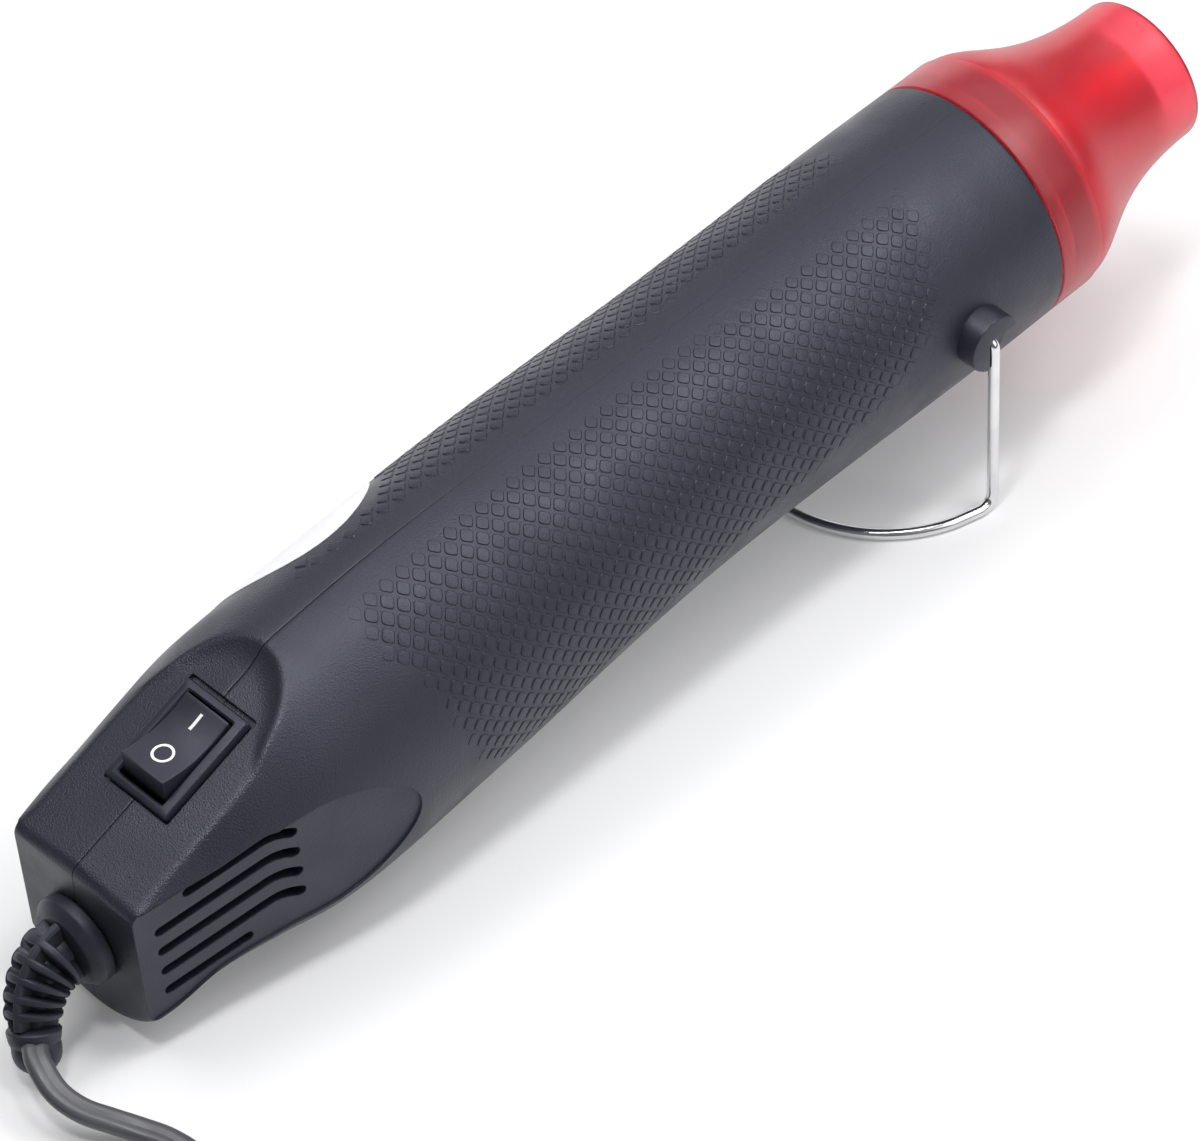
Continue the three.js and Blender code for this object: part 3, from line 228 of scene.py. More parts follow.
def bump(nodes, links, shader, height, strength, distance):
    made = nodes.new("ShaderNodeBump")
    fill(made, {"Strength": strength, "Distance": distance})
    links.new(height, made.inputs["Height"])
    links.new(made.outputs["Normal"], shader.inputs["Normal"])
    return made


def shade(color, factor):
    return tuple(min(c * factor, 1) for c in color)


def varied(name, color, roughness, spread, scale, metallic=0.0, stretch=(1, 1, 1), grain=None,
           edge=0.0, sheen=(1, 1, 1)):
    """A finish whose colour and gloss drift over the surface, with an optional fine bump (scale,
    strength, depth) and edges that shade as if rounded."""
    made, nodes, links, shader = material(name, color, roughness, metallic)
    fill(shader, {"Specular Tint": (*sheen, 1)})
    drift = noise(nodes, links, scale, 4, stretch)
    tones = ramp(nodes, links, drift, shade(color, 1 - spread), shade(color, 1 + spread))
    links.new(tones, shader.inputs["Base Color"])
    wear = noise(nodes, links, scale * 3, 2, stretch)
    least, most = max(roughness - GLOSS_SPREAD, LEAST_ROUGHNESS), roughness + GLOSS_SPREAD
    links.new(ramp(nodes, links, wear, (least,) * 3, (most,) * 3), shader.inputs["Roughness"])
    if grain:
        fine = bump(nodes, links, shader, noise(nodes, links, grain[0], 2, stretch), grain[1], grain[2])
        if edge:
            rounded = nodes.new("ShaderNodeBevel")
            fill(rounded, {"Radius": edge * MM})
            links.new(rounded.outputs["Normal"], fine.inputs["Normal"])
    return made


def rub_rim(finish):
    """Lets the rim of the switch's scoop, where the face turns into the flanks, shine as if rubbed."""
    nodes, links = finish.node_tree.nodes, finish.node_tree.links
    surface = nodes.new("ShaderNodeNewGeometry")
    normal, place = nodes.new("ShaderNodeSeparateXYZ"), nodes.new("ShaderNodeSeparateXYZ")
    links.new(surface.outputs["Normal"], normal.inputs["Vector"])
    links.new(surface.outputs["Position"], place.inputs["Vector"])
    band = nodes.new("ShaderNodeValToRGB")
    stops = band.color_ramp.elements
    stops[0].position, stops[1].position = RIM_LEAN[:2]
    stops[0].color, stops[1].color = BLACK, WHITE
    stops.new(RIM_LEAN[2]).color = WHITE
    stops.new(RIM_LEAN[3]).color = BLACK
    links.new(worked_out(nodes, links, "ABSOLUTE", normal.outputs["Y"]), band.inputs["Fac"])
    share = band.outputs["Color"]
    fade = [(TOOL @ (Vector((x, 0, 20)) * MM)).x for x in RIM_FADE]
    for source, ends in ((normal.outputs["Z"], RIM_FACING), (place.outputs["X"], fade)):
        within = nodes.new("ShaderNodeMapRange")
        fill(within, dict(zip(("From Min", "From Max"), ends)))
        links.new(source, within.inputs["Value"])
        share = worked_out(nodes, links, "MULTIPLY", share, within.outputs["Result"])
    rough = nodes["Principled BSDF"].inputs["Roughness"]
    blend = nodes.new("ShaderNodeMix")
    links.new(share, blend.inputs["Factor"])
    links.new(rough.links[0].from_socket, blend.inputs["A"])
    fill(blend, {"B": RIM_ROUGHNESS})
    links.new(blend.outputs["Result"], rough)


CHARCOAL = (0.0172, 0.0183, 0.0295)
COOL = (0.82, 0.85, 1.0)
body_plastic = varied("moulded_plastic", CHARCOAL, 0.4, 0.08, 35, grain=(3200, 0.8, 0.00012),
                      edge=0.3, sheen=COOL)
rub_rim(body_plastic)
pad_plastic = varied("grip_plastic", CHARCOAL, 0.38, 0.08, 35, grain=(3200, 0.6, 0.00012), sheen=COOL)
lug_plastic = varied("lug_plastic", shade(CHARCOAL, 0.8), 0.4, 0.1, 90, grain=(2600, 0.3, 0.0001),
                     edge=0.2, sheen=COOL)
switch_plastic = varied("switch_plastic", shade(CHARCOAL, 0.95), 0.42, 0.06, 80,
                        grain=(2600, 0.2, 0.00008), sheen=COOL)
inner_plastic = varied("inner_plastic", (0.02, 0.02, 0.022), 0.6, 0.1, 60)
boot_rubber = varied("boot_rubber", (0.022, 0.023, 0.033), 0.48, 0.15, 120, grain=(2400, 0.3, 0.0001),
                     sheen=COOL)
cord_rubber = varied("cord_sheath", (0.078, 0.079, 0.088), 0.34, 0.12, 90, grain=(2500, 0.15, 0.00008))
tie_plastic = varied("tie_plastic", (0.03, 0.03, 0.033), 0.5, 0.1, 100)
steel_wire = varied("bright_wire", (0.72, 0.72, 0.73), 0.2, 0.06, 140, 1.0, grain=(2200, 0.12, 0.00005))
steel_tube = varied("tube_steel", (0.72, 0.71, 0.69), 0.38, 0.08, 90, 1.0, (1, 6, 6))
plated = varied("plated_steel", (0.55, 0.55, 0.56), 0.32, 0.08, 70, 1.0)
brass = varied("brass", (0.6, 0.42, 0.14), 0.3, 0.08, 110, 1.0)
mica = varied("mica", (0.46, 0.4, 0.28), 0.5, 0.25, 160, grain=(900, 0.3, 0.0001))
winding = varied("resistance_wire", (0.3, 0.28, 0.27), 0.35, 0.1, 120, 1.0)
pale_plastic = varied("pale_plastic", (0.7, 0.68, 0.62), 0.5, 0.05, 60)
board_green = varied("circuit_board", (0.03, 0.14, 0.05), 0.4, 0.2, 160)
mark_white = varied("mark_paint", (0.8, 0.8, 0.79), 0.45, 0.04, 200)
label_white = varied("label_film", (0.8, 0.8, 0.83), 0.35, 0.03, 120, grain=(1500, 0.08, 0.00005))


def guard_plastic():
    made, nodes, links, shader = material("translucent_red", (0.94, 0.07, 0.115), 0.34)
    drift = noise(nodes, links, 25, 3)
    tones = ramp(nodes, links, drift, (0.91, 0.062, 0.105), (0.97, 0.078, 0.125))
    links.new(tones, shader.inputs["Base Color"])
    fill(shader, {"Transmission Weight": 0.8, "IOR": 1.49, "Subsurface Weight": 1,
                  "Subsurface Radius": (1, 0.12, 0.16), "Subsurface Scale": 2.5 * MM})
    bump(nodes, links, shader, noise(nodes, links, 700, 2), 0.06, 0.0001)
    return made


guard_red = guard_plastic()


# Mesh helpers
def to_row(points):
    turn = np.array(TOOL.to_3x3())
    return np.asarray(points, float) * MM @ turn.T + np.array(TOOL.translation)


def show(name, data):
    made = bpy.data.objects.new(name, data)
    bpy.context.scene.collection.objects.link(made)
    return made


def turn_outward(mesh):
    """Merges points in one place and turns the faces outward."""
    tidy = bmesh.new()
    tidy.from_mesh(mesh)
    bmesh.ops.remove_doubles(tidy, verts=tidy.verts, dist=1e-7)
    bmesh.ops.recalc_face_normals(tidy, faces=tidy.faces)
    tidy.to_mesh(mesh)
    tidy.free()


def make(name, points, faces, finish, body="housing", slot=None, in_row=False, angle=35):
    """A piece of the given points, riding on a body, smooth apart from edges sharper than the angle."""
    mesh = bpy.data.meshes.new(name)
    places = np.asarray(points, float) * MM if in_row else to_row(points)
    mesh.from_pydata(places.tolist(), [], [tuple(int(i) for i in f) for f in faces])
    turn_outward(mesh)
    mesh.materials.append(finish)
    made = show(name, mesh)
    smooth(made, angle)
    if body:
        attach(made, body)
    return made


def smooth(made, angle):
    made.data.polygons.foreach_set("use_smooth", [True] * len(made.data.polygons))
    made.data.set_sharp_from_angle(angle=math.radians(angle))


def bake(made):
    """Applies the modifiers of a piece."""
    graph = bpy.context.evaluated_depsgraph_get()
    mesh = bpy.data.meshes.new_from_object(made.evaluated_get(graph))
    made.modifiers.clear()
    made.data = mesh


def cut(made, *cutters):
    for cutter in cutters:
        knife = made.modifiers.new("cut", "BOOLEAN")
        knife.operation, knife.solver, knife.object = "DIFFERENCE", "EXACT", cutter
        bake(made)
    for cutter in cutters:
        bpy.data.objects.remove(cutter)


def bevel(made, width, segments, angle):
    edge = made.modifiers.new("edge", "BEVEL")
    edge.width, edge.segments, edge.limit_method = width * MM, segments, "ANGLE"
    edge.angle_limit = math.radians(angle)
    bake(made)
    smooth(made, angle)


def stack(rings, caps=True):
    """Points and faces of a skin over rings of equal count."""
    count = len(rings[0])
    points = np.concatenate([np.asarray(ring, float) for ring in rings])
    faces = []
    for i in range(len(rings) - 1):
        for k in range(count):
            a, b = i * count + k, i * count + (k + 1) % count
            faces.append((a, b, b + count, a + count))
    if caps:
        faces += [tuple(range(count))[::-1], tuple(range(len(points) - count, len(points)))]
    return points, faces


def hoop(rings):
    """A skin over rings that come round to the first one."""
    return stack(rings + rings[:1], caps=False)


def ray(angle):
    return np.array([np.cos(angle), np.sin(angle)])


def circle(radius, sides):
    return radius * ray(np.linspace(0, 2 * math.pi, sides, endpoint=False)).T


def upright(outline, y):
    """Points of an (x, z) outline, at one place to the side or at one for each."""
    x, z = np.asarray(outline, float).T
    return np.stack([x, np.broadcast_to(y, x.shape), z], 1)


def round_box(length, width, corner, z):
    """Ring of a rectangle with round corners at a height."""
    ring = []
    for sx, sy, start in ((1, 1, 0), (-1, 1, 90), (-1, -1, 180), (1, -1, 270)):
        for c, s in ray(np.radians(np.linspace(start, start + 90, 6))).T:
            ring.append((sx * (length / 2 - corner) + corner * c,
                         sy * (width / 2 - corner) + corner * s, z))
    return np.array(ring)


def lathe(profile, sides):
    """A hoop of (x, radius) points about the tool's axis."""
    c, s = circle(1, sides).T
    return hoop([np.stack([np.full(sides, x), -r * s, r * c], 1) for x, r in profile])


def carried(line, profile, hint=(0, 0, 1)):
    """Rings of a profile of (side, rise) points carried along a line. A function gives one that changes
    from point to point."""
    along = np.gradient(line, axis=0)
    along /= np.linalg.norm(along, axis=1)[:, None]
    rise = np.array(hint, float)
    rings = []
    for i, (point, t) in enumerate(zip(line, along)):
        side = np.cross(t, rise)
        side /= np.linalg.norm(side)
        rise = np.cross(side, t)
        shape = np.asarray(profile(i) if callable(profile) else profile)
        rings.append(point + shape[:, :1] * side + shape[:, 1:2] * rise)
    return rings


def join(parts):
    """One set of points and faces from several."""
    points, faces, base = [], [], 0
    for p, f in parts:
        points.append(np.asarray(p))
        faces += [tuple(i + base for i in face) for face in f]
        base += len(p)
    return np.concatenate(points), faces


def bezier(points, t):
    p, t = np.asarray(points, float), t[:, None]
    return (1 - t) ** 3 * p[0] + 3 * t * (1 - t) ** 2 * p[1] + 3 * t * t * (1 - t) * p[2] + t ** 3 * p[3]


def through(points, per_span):
    """A centripetal curve through points, with a number of steps in each span."""
    p = np.asarray(points, float)
    p = np.concatenate([[2 * p[0] - p[1]], p, [2 * p[-1] - p[-2]]])

    def between(a, b, t, start, end):
        return a + (b - a) * (t - start) / (end - start)

    made = []
    for a, b, c, d in zip(p[:-3], p[1:-2], p[2:-1], p[3:]):
        t1 = math.sqrt(np.linalg.norm(b - a))
        t2 = t1 + math.sqrt(np.linalg.norm(c - b))
        t3 = t2 + math.sqrt(np.linalg.norm(d - c))
        for t in np.linspace(t1, t2, per_span, endpoint=False):
            ab, bc, cd = between(a, b, t, 0, t1), between(b, c, t, t1, t2), between(c, d, t, t2, t3)
            made.append(between(between(ab, bc, t, 0, t2), between(bc, cd, t, t1, t3), t, t1, t2))
    made.append(p[-2])
    return np.array(made)


# Camera, at the place that the photograph was taken from
CAMERA_AZIMUTH, CAMERA_ELEVATION, CAMERA_ROLL = -0.69565962, 0.83852255, -0.10292765
CAMERA_MIDDLE, CAMERA_SHIFT, CAMERA_AWAY = 130.0, (-7.33478586, -20.5345609), 1200.0
CAMERA_FOCAL = 7034.9862  # pixels


def place_camera():
    a, e = CAMERA_AZIMUTH, CAMERA_ELEVATION
    back = Vector((math.sin(a) * math.cos(e), -math.cos(a) * math.cos(e), math.sin(e)))
    right = Vector((math.cos(a), math.sin(a), 0))
    up = back.cross(right)
    c, s = math.cos(CAMERA_ROLL), math.sin(CAMERA_ROLL)
    right, up = right * c + up * s, up * c - right * s
    place = (Vector((CAMERA_MIDDLE, 0, 0)) + right * CAMERA_SHIFT[0] + up * CAMERA_SHIFT[1]
             + back * CAMERA_AWAY)
    pose = Matrix((right, up, back)).transposed().to_4x4()
    data = bpy.data.cameras.new("camera")
    data.sensor_width = 36
    data.lens = CAMERA_FOCAL / IMAGE_WIDTH * data.sensor_width
    data.clip_start, data.clip_end = 0.01, 20
    camera = show("camera", data)
    camera.matrix_world = TOOL @ Matrix.Translation(place * MM) @ pose
    bpy.context.scene.camera = camera


place_camera()

# Lead: the route over the floor in the row frame, then the coil
boot_start = np.array([-FIT - BOOT_FLANGE_THICK, 0, CORD_HEIGHT])
before_tip, tip = to_row(boot_start + BOOT_BEND[1:]) / MM
heading = (tip - before_tip) / np.linalg.norm(tip - before_tip)
level = COIL_LIFT + CORD_THICK / 2


def lead_line():
    start = tip + heading * FIT
    route = [start, start + heading * CORD_THICK]
    route += [(tip[0] + x, tip[1] + y, level + fall) for x, y, fall in CORD_ROUTE]
    end = np.array(route[-1])
    centre = np.array([end[0] - FIT - CORD_WIDTH, end[1] + COIL_OUTER, 0])
    rate, step = COIL_STEP / (2 * math.pi), 2 * math.pi / LOOP_STEPS
    inner = COIL_OUTER - COIL_STEP * TURNS_IN

    def place(r, angle, z):
        return np.array([*(centre[:2] + r * ray(angle)), z])

    coil = [np.array([end[0] - FIT, end[1], level])]
    angle = -math.pi / 2
    steps_in, steps_out = round(TURNS_IN * LOOP_STEPS), round(TURNS_OUT * LOOP_STEPS)
    coil += [place(COIL_OUTER - rate * step * i, angle - step * i, level) for i in range(steps_in + 1)]
    angle -= step * steps_in
    for i in range(1, LOOP_STEPS // 2 + 1):
        gone = step * i
        share = min(max((gone - CLIMB_FROM) / (math.pi - 2 * CLIMB_FROM), 0), 1)
        rise = share * share * (3 - 2 * share)
        tighter = rate * min(gone, math.pi - gone)
        coil.append(place(inner - tighter, angle - gone, level + COIL_LAYER * rise))
    angle -= math.pi
    coil += [place(inner + rate * step * i, angle - step * i, level + COIL_LAYER)
             for i in range(1, steps_out + 1)]
    coil.append(coil[-1] - np.array([COIL_TAIL, 0, 0]))
    line = np.concatenate([through(route, ROUTE_STEPS)[:-1], through(coil, COIL_STEPS)])
    return line, centre, inner, coil[-1]


def twin_section():
    """Two round cores side by side, with a groove between them."""
    core, reach = CORD_THICK / 2, math.radians(128)
    right = core * ray(np.linspace(-reach, reach, 10)).T + (CORD_WIDTH / 2 - core, 0)
    return np.concatenate([right, -right])


lead_path, coil_centre, coil_inner, plug_place = lead_line()
sag_handles = np.array([boot_start, *(boot_start + BOOT_SAG)])
whole_lead = np.array([to_row(sag_handles[3]) / MM, *lead_path])  # from inside the boot's end
lead = make("lead", *stack(carried(whole_lead, twin_section())), cord_rubber, slot="lead", in_row=True,
            angle=60)
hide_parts("cord", "cord_coil")


# Strain relief: flange, core, rings and spines on one bent line, with a round end that the lead leaves
# sideways
def ribbed_boot():
    t = np.linspace(0, 1, BOOT_STEPS)
    line = bezier(sag_handles, t)
    ribbed = t <= BOOT_RINGS_END
    rings_at = np.linspace(0.0, BOOT_RINGS_END, BOOT_RINGS + 2)[1:-1]
    pitch = rings_at[1] - rings_at[0]
    to_ring = np.abs(rings_at - t[:, None]).min(axis=1)
    outer = BOOT_ROOT + (BOOT_TIP - BOOT_ROOT) * t

    def radius(i):
        if ribbed[i]:
            fall = BOOT_RING_FALL * (to_ring[i] / BOOT_RING_HALF) ** 6
            return max(outer[i] - fall, BOOT_CORE * outer[i])
        swell = min((t[i] - BOOT_RINGS_END) / COLLAR_RISE, 1)
        close = max((t[i] - COLLAR_END) / (1 - COLLAR_END), 0)
        size = BOOT_CORE + (COLLAR_SIZE - BOOT_CORE) * math.sqrt(1 - (1 - swell) ** 2)
        return outer[i] * size - COLLAR_CLOSE * close ** 2

    parts = [stack(carried(line, lambda i: circle(radius(i), 28)))]
    for degrees, half, notched in BOOT_SPINES:
        c, s = ray(math.radians(degrees))

        def strip(i):
            off = min(2 * to_ring[i] / pitch, 0.99) if notched else 0
            high = outer[i] - SPINE_SINK - SPINE_NOTCH * (1 - math.sqrt(1 - off ** 2))
            flank = [(high - SPINE_DEPTH, half), (high - 0.3 - 0.1 * half, half),
                     (high, half - SPINE_ROUND)]
            corners = [(u, -v) for u, v in flank] + flank[::-1]
            return [(u * c - v * s, u * s + v * c) for u, v in corners]
        parts.append(stack(carried(line[ribbed], strip)))
    along = np.sin(np.linspace(-math.pi / 2, math.pi / 2, 26)[1:-1])
    end_line = sag_handles[3] + (along * BOOT_END_HALF)[:, None] * BOOT_END_TURN
    end_radius = BOOT_END_RADIUS * (1 - np.abs(along) ** BOOT_END_SQUARE) ** (1 / BOOT_END_SQUARE)
    parts.append(stack(carried(end_line, lambda i: circle(end_radius[i], 32))))
    profile = [(-FIT, 0.5), (-FIT, BOOT_FLANGE - 0.3), (-FIT - 0.3, BOOT_FLANGE), (-2.3, BOOT_FLANGE),
               (-2.7, BOOT_FLANGE - 0.15), (-3.0, BOOT_FLANGE - 0.45), (-4.1, BOOT_FLANGE - 1.5),
               (-4.3, BOOT_FLANGE - 1.9), (-4.3, 0.5)]
    points, faces = lathe(profile, 64)
    parts.append((points + (0, 0, CORD_HEIGHT), faces))
    return join(parts)


boot = make("boot", *ribbed_boot(), boot_rubber, slot="boot", angle=40)
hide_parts("strain_relief")


# Tie and plug, in the row frame
def cord_tie():
    low, high = COIL_LIFT - FIT, level + COIL_LAYER + CORD_THICK / 2 + FIT
    near = coil_centre[1] + coil_inner - CORD_WIDTH / 2 - TIE_SLACK
    far = coil_centre[1] + COIL_OUTER - COIL_STEP / 2 + CORD_WIDTH / 2 + FIT
    middle = ((near + far) / 2, (low + high) / 2)
    deep, tall = far - near, high - low
    inner, outer = [round_box(deep + 2 * grow, tall + 2 * grow, TIE_CORNER, 0)[:, :2] + middle
                    for grow in (0.05, TIE_THICK)]
    half, edge = TIE_WIDTH / 2, TIE_WIDTH / 2 - TIE_EDGE
    return hoop([np.column_stack([np.full(len(ring), coil_centre[0] + x), ring])
                 for ring, x in ((inner, -half), (outer, -edge), (outer, edge), (inner, half))])


tie = make("tie", *cord_tie(), tie_plastic, slot="inner_plastic", in_row=True, angle=30)
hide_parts("cord_tie")


def plug_shape():
    rear, y, middle = plug_place[0] - FIT, plug_place[1], PLUG_HEIGHT / 2
    shares = np.linspace(0, 1, 60)
    ribbed = (shares > 0.42) & (shares < 0.82) & (np.sin(shares * 60) < 0)
    c, s = [np.sign(part) * np.abs(part) ** PLUG_SQUARE for part in circle(1, 40).T]
    rings = []
    for t, g, rib in zip(shares, np.interp(shares, *PLUG_FORM.T), np.where(ribbed, -PLUG_RIB, 0)):
        side = PLUG_WIDTH / 2 * (g + rib) * c
        rise = PLUG_HEIGHT / 2 * min(g + 0.04, 1) * s
        x = np.full(len(c), rear - PLUG_LENGTH * t)
        rings.append(np.stack([x, y + side, middle + rise * 0.995], 1))
    return stack(rings)


plug = make("plug", *plug_shape(), cord_rubber, slot="lead", in_row=True, angle=30)
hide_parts("plug_body")


# Body surface
def section(x):
    """Half width, crown, belly and widest height at distances from the rear face, on smooth curves."""
    at, rows = SECTIONS[:, 0], SECTIONS[:, 1:]
    index = np.arange(len(at))
    before, after = np.maximum(index - 1, 0), np.minimum(index + 1, index[-1])
    slopes = (rows[after] - rows[before]) / (at[after] - at[before])[:, None]
    i = np.clip(np.searchsorted(at, x, side="right") - 1, 0, index[-2])
    span = (at[i + 1] - at[i])[..., None]
    t = np.clip((x - at[i])[..., None] / span, 0, 1)
    value = ((2 * t ** 3 - 3 * t ** 2 + 1) * rows[i] + (t ** 3 - 2 * t ** 2 + t) * span * slopes[i]
             + (3 * t ** 2 - 2 * t ** 3) * rows[i + 1] + (t ** 3 - t ** 2) * span * slopes[i + 1])
    return np.moveaxis(value, -1, 0)


def eased(t):
    t = np.clip(t, 0, 1)
    return t * t * (3 - 2 * t)


def body_radius(x, phi, flanks=False):
    """Distance of the body's outside from its middle line, at an angle to the right of the top."""
    half, crown, belly, mid = section(x)
    s, c = np.abs(np.sin(phi)), np.cos(phi)
    r = 1 / np.sqrt((s / half) ** 2 + (c / np.where(c > 0, crown - mid, mid - belly)) ** 2)
    if flanks:
        r = np.minimum(r, (REAR_HALF + FLANK_RISE * x - LEAF_STEP) / np.maximum(s, 1e-3))
    plane = FACE_REAR + math.tan(FACE_SLOPE) * x - mid
    ahead = np.maximum(x - FACE_ROUND_FROM, 0) / FACE_ROUND_LENGTH
    aside = np.minimum(plane / np.maximum(c, 0.05), r) * s / FACE_HALF
    plane = plane - FACE_CROWN * (np.hypot(np.minimum(aside, CROWN_REACH), CROWN_ROUND) - CROWN_ROUND)
    inside = (1 - np.sqrt(ahead ** 2 + aside ** 2)) * FACE_HALF
    fillet = FACE_FILLET * eased((x - FACE_ROUND_FROM) / FILLET_RUN) + 1e-6
    short = np.clip(fillet - inside, 0, fillet)
    rise = fillet - np.sqrt(fillet ** 2 - short ** 2)
    rise = rise + FACE_BANK * np.maximum(-inside, 0) * (x > FACE_ROUND_FROM)
    face = np.where(c > 0.05, (plane + rise) / np.maximum(c, 0.05), 1e3)
    over = r - face
    return r - (over + np.sqrt(over * over + EDGE_ROUND ** 2)) / 2  # with a round edge


def body_point(x, phi, lift=0.0):
    x, phi = np.broadcast_arrays(np.asarray(x, float), np.asarray(phi, float))
    r = body_radius(x, phi) + lift
    mid = section(x)[3]
    return np.stack([x, -r * np.sin(phi), mid + r * np.cos(phi)], -1)


def body_side(x, z):
    """How far the body reaches to the side at a height."""
    low, high = np.full(np.shape(x), 0.05), np.full(np.shape(x), math.pi - 0.05)
    for _ in range(40):
        phi = (low + high) / 2
        above = body_point(x, phi)[..., 2] > z
        low, high = np.where(above, phi, low), np.where(above, high, phi)
    return np.abs(body_point(x, low)[..., 1])


def seam_share(x):
    """The seam is plain to see on the tail and all but closed along the grip."""
    return 1 - 0.92 * eased((x - 62) / 34)


def half_grid(x, phi, inset, rear, thin):
    """Points of one side of a half's wall: the rear cap, from its middle outward, then the skin."""
    r = body_radius(x[:, None], phi[None, :], rear > 0) - inset[:, None] - thin
    mid = section(x)[3][:, None]
    y, z = r * np.sin(phi), mid + r * np.cos(phi)
    cap = np.array([0.0, 0.3, 0.6, 0.85])[:, None]
    x = np.concatenate([np.full(len(cap), rear), x])
    y = np.concatenate([cap * y[0], y])
    z = np.concatenate([mid[0] + cap * (z[0] - mid[0]), z])
    y = y + seam_share(x)[:, None] * SEAM_HALF * np.exp(-y / 1.2)
    return np.stack([np.broadcast_to(x[:, None], y.shape), y, z], -1)


def body_half(name, side):
    """One half with its wall, side 1 on the right."""
    edge = np.array([0, 0.35, 0.9, 1.8])
    phi = np.radians(np.concatenate([edge, np.arange(2.6, 62, 0.7), np.linspace(62.5, 177.3, 66),
                                     180 - edge[::-1]]))
    rounds = REAR_ROUND * (1 - np.cos(np.radians(np.linspace(0, 90, 8))))
    tail = np.concatenate([np.arange(2.2, 24, 0.8), np.arange(24, 50, 0.42), np.arange(50, 76, 1.0)])
    grip = np.concatenate([np.arange(76, 208.4, 3.5), [208.4, 208.8, 209.0]])
    x = np.concatenate([rounds, tail, grip])
    behind = np.maximum(REAR_ROUND - x, 0)
    inset = REAR_ROUND - np.sqrt(REAR_ROUND ** 2 - behind ** 2)
    inset += np.interp(x, [208.4, 208.8, 209.0], [0, 0.06, 0.25])
    seam = np.zeros((len(x), len(phi)))
    seam[:, [0, -1]], seam[:, [1, -2]] = 0.1 * seam_share(x)[:, None], 0.02 * seam_share(x)[:, None]
    outer = half_grid(x, phi, inset, 0.0, seam)
    inner = half_grid(np.maximum(x, WALL + 0.01 * x), phi, np.zeros(len(x)), WALL, WALL)
    rings = np.concatenate([outer, inner[:, ::-1]], axis=1) * (1, -side, 1)
    points, faces = stack(rings, caps=False)
    first, last = len(points) - len(rings[0]), len(points) - 1
    faces += [(first + k, first + k + 1, last - k - 1, last - k) for k in range(len(phi) - 1)]
    return make(name, points, faces, body_plastic, slot="housing")


def prism(name, outline, y0, y1):
    """A block with an outline of (x, z) points, from y0 to y1."""
    return make(name, *stack([upright(outline, y) for y in (y0, y1)]), body_plastic, body=None)


def slot_outline(index):
    first, last = index == 0, index == SLOT_COUNT - 1
    start, end = TOP_SLOT_REAR if first else SLOT_REAR, LOW_SLOT_FRONT if last else SLOT_FRONT

    def height(x):
        past = np.maximum(x - SLOT_BEND, 0) / (SLOT_FRONT - SLOT_BEND)
        return SLOT_TOP - index * SLOT_PITCH + SLOT_SLOPE * (x - SLOT_REAR) - 2 * SLOT_DROOP * past ** 2

    half = SLOT_WIDTH / 2
    x = np.linspace(start + half, end - half, 24)
    lean = np.arctan((height(x + 0.1) - height(x - 0.1)) / 0.2)
    middle, across = np.stack([x, height(x)], 1), half * ray(lean + math.pi / 2).T

    def end_cap(k, turn):
        return middle[k] + half * ray(turn + lean[k] - np.linspace(0, math.pi, 10)[1:-1]).T

    return np.concatenate([middle + across, end_cap(-1, math.pi / 2),
                           (middle - across)[::-1], end_cap(0, -math.pi / 2)])


def leaf_cutter(side):
    """What is outside the flat flank, down to a small step below where the flat meets the body."""
    x = np.concatenate([[-1.0], np.linspace(0, 49.5, 66), np.linspace(50, 56, 2000)])
    half, crown, belly, mid = section(np.maximum(x, 0))
    share = np.sqrt(np.maximum(1 - ((REAR_HALF + FLANK_RISE * x) / half) ** 2, 0))
    last = int(np.argmax(share < 0.012))
    even = np.linspace(share[67], share[last], 24)
    pick = np.concatenate([np.arange(67), 67 + np.searchsorted(-share[67:last], -even[:-1]), [last]])
    x, share, crown, belly, mid = x[pick], share[pick], crown[pick], belly[pick], mid[pick]
    top = np.stack([x, mid + (crown - mid) * share], 1)
    low = np.stack([x, mid - (mid - belly) * share], 1)[::-1]
    outline = np.concatenate([top, low])
    floor = REAR_HALF + FLANK_RISE * outline[:, 0] - LEAF_STEP
    rings = [upright(outline, -side * y) for y in (floor, OUTSIDE)]
    return make("leaf", *stack(rings), body_plastic, body=None)


def on_face(points):
    """Points of the switch's own frame, X up the sloping face and Z out of it, in the tool's frame."""
    x, y, z = np.moveaxis(np.asarray(points, float), -1, 0)
    c, s = ray(FACE_SLOPE)
    height = FACE_REAR + SWITCH_AT * math.tan(FACE_SLOPE)
    return np.stack([SWITCH_AT + x * c - z * s, y, height + x * s + z * c], -1)


def seat_cutter():
    hole, seat = (SWITCH_LENGTH + 0.6, SWITCH_WIDTH + 0.6, 0.4), (SEAT_LENGTH, SEAT_WIDTH, 0.35)
    ahead = (SEAT_AHEAD, 0, 0)
    rings = [round_box(*hole, -12), round_box(*hole, -SEAT_DEPTH),
             round_box(*seat, -SEAT_DEPTH) + ahead, round_box(*seat, 6) + ahead]
    return make("seat", *stack([on_face(ring) for ring in rings]), body_plastic, body=None)


def screw_posts():
    parts = []
    for x, z, _ in SCREW_POSTS:
        rings = []
        for radius, y in ((POST_RADIUS, FIT), (POST_RADIUS, None), (WELL_RADIUS, None),
                          (WELL_RADIUS, HEAD_SEAT), (SCREW_HOLE, HEAD_SEAT), (SCREW_HOLE, FIT)):
            ring = circle(radius, POST_SIDES) + (x, z)
            rings.append(upright(ring, body_side(*ring.T) - POST_SINK * WALL if y is None else y))
        parts.append(hoop(rings))
    make("screw_posts", *join(parts), body_plastic, slot="housing")


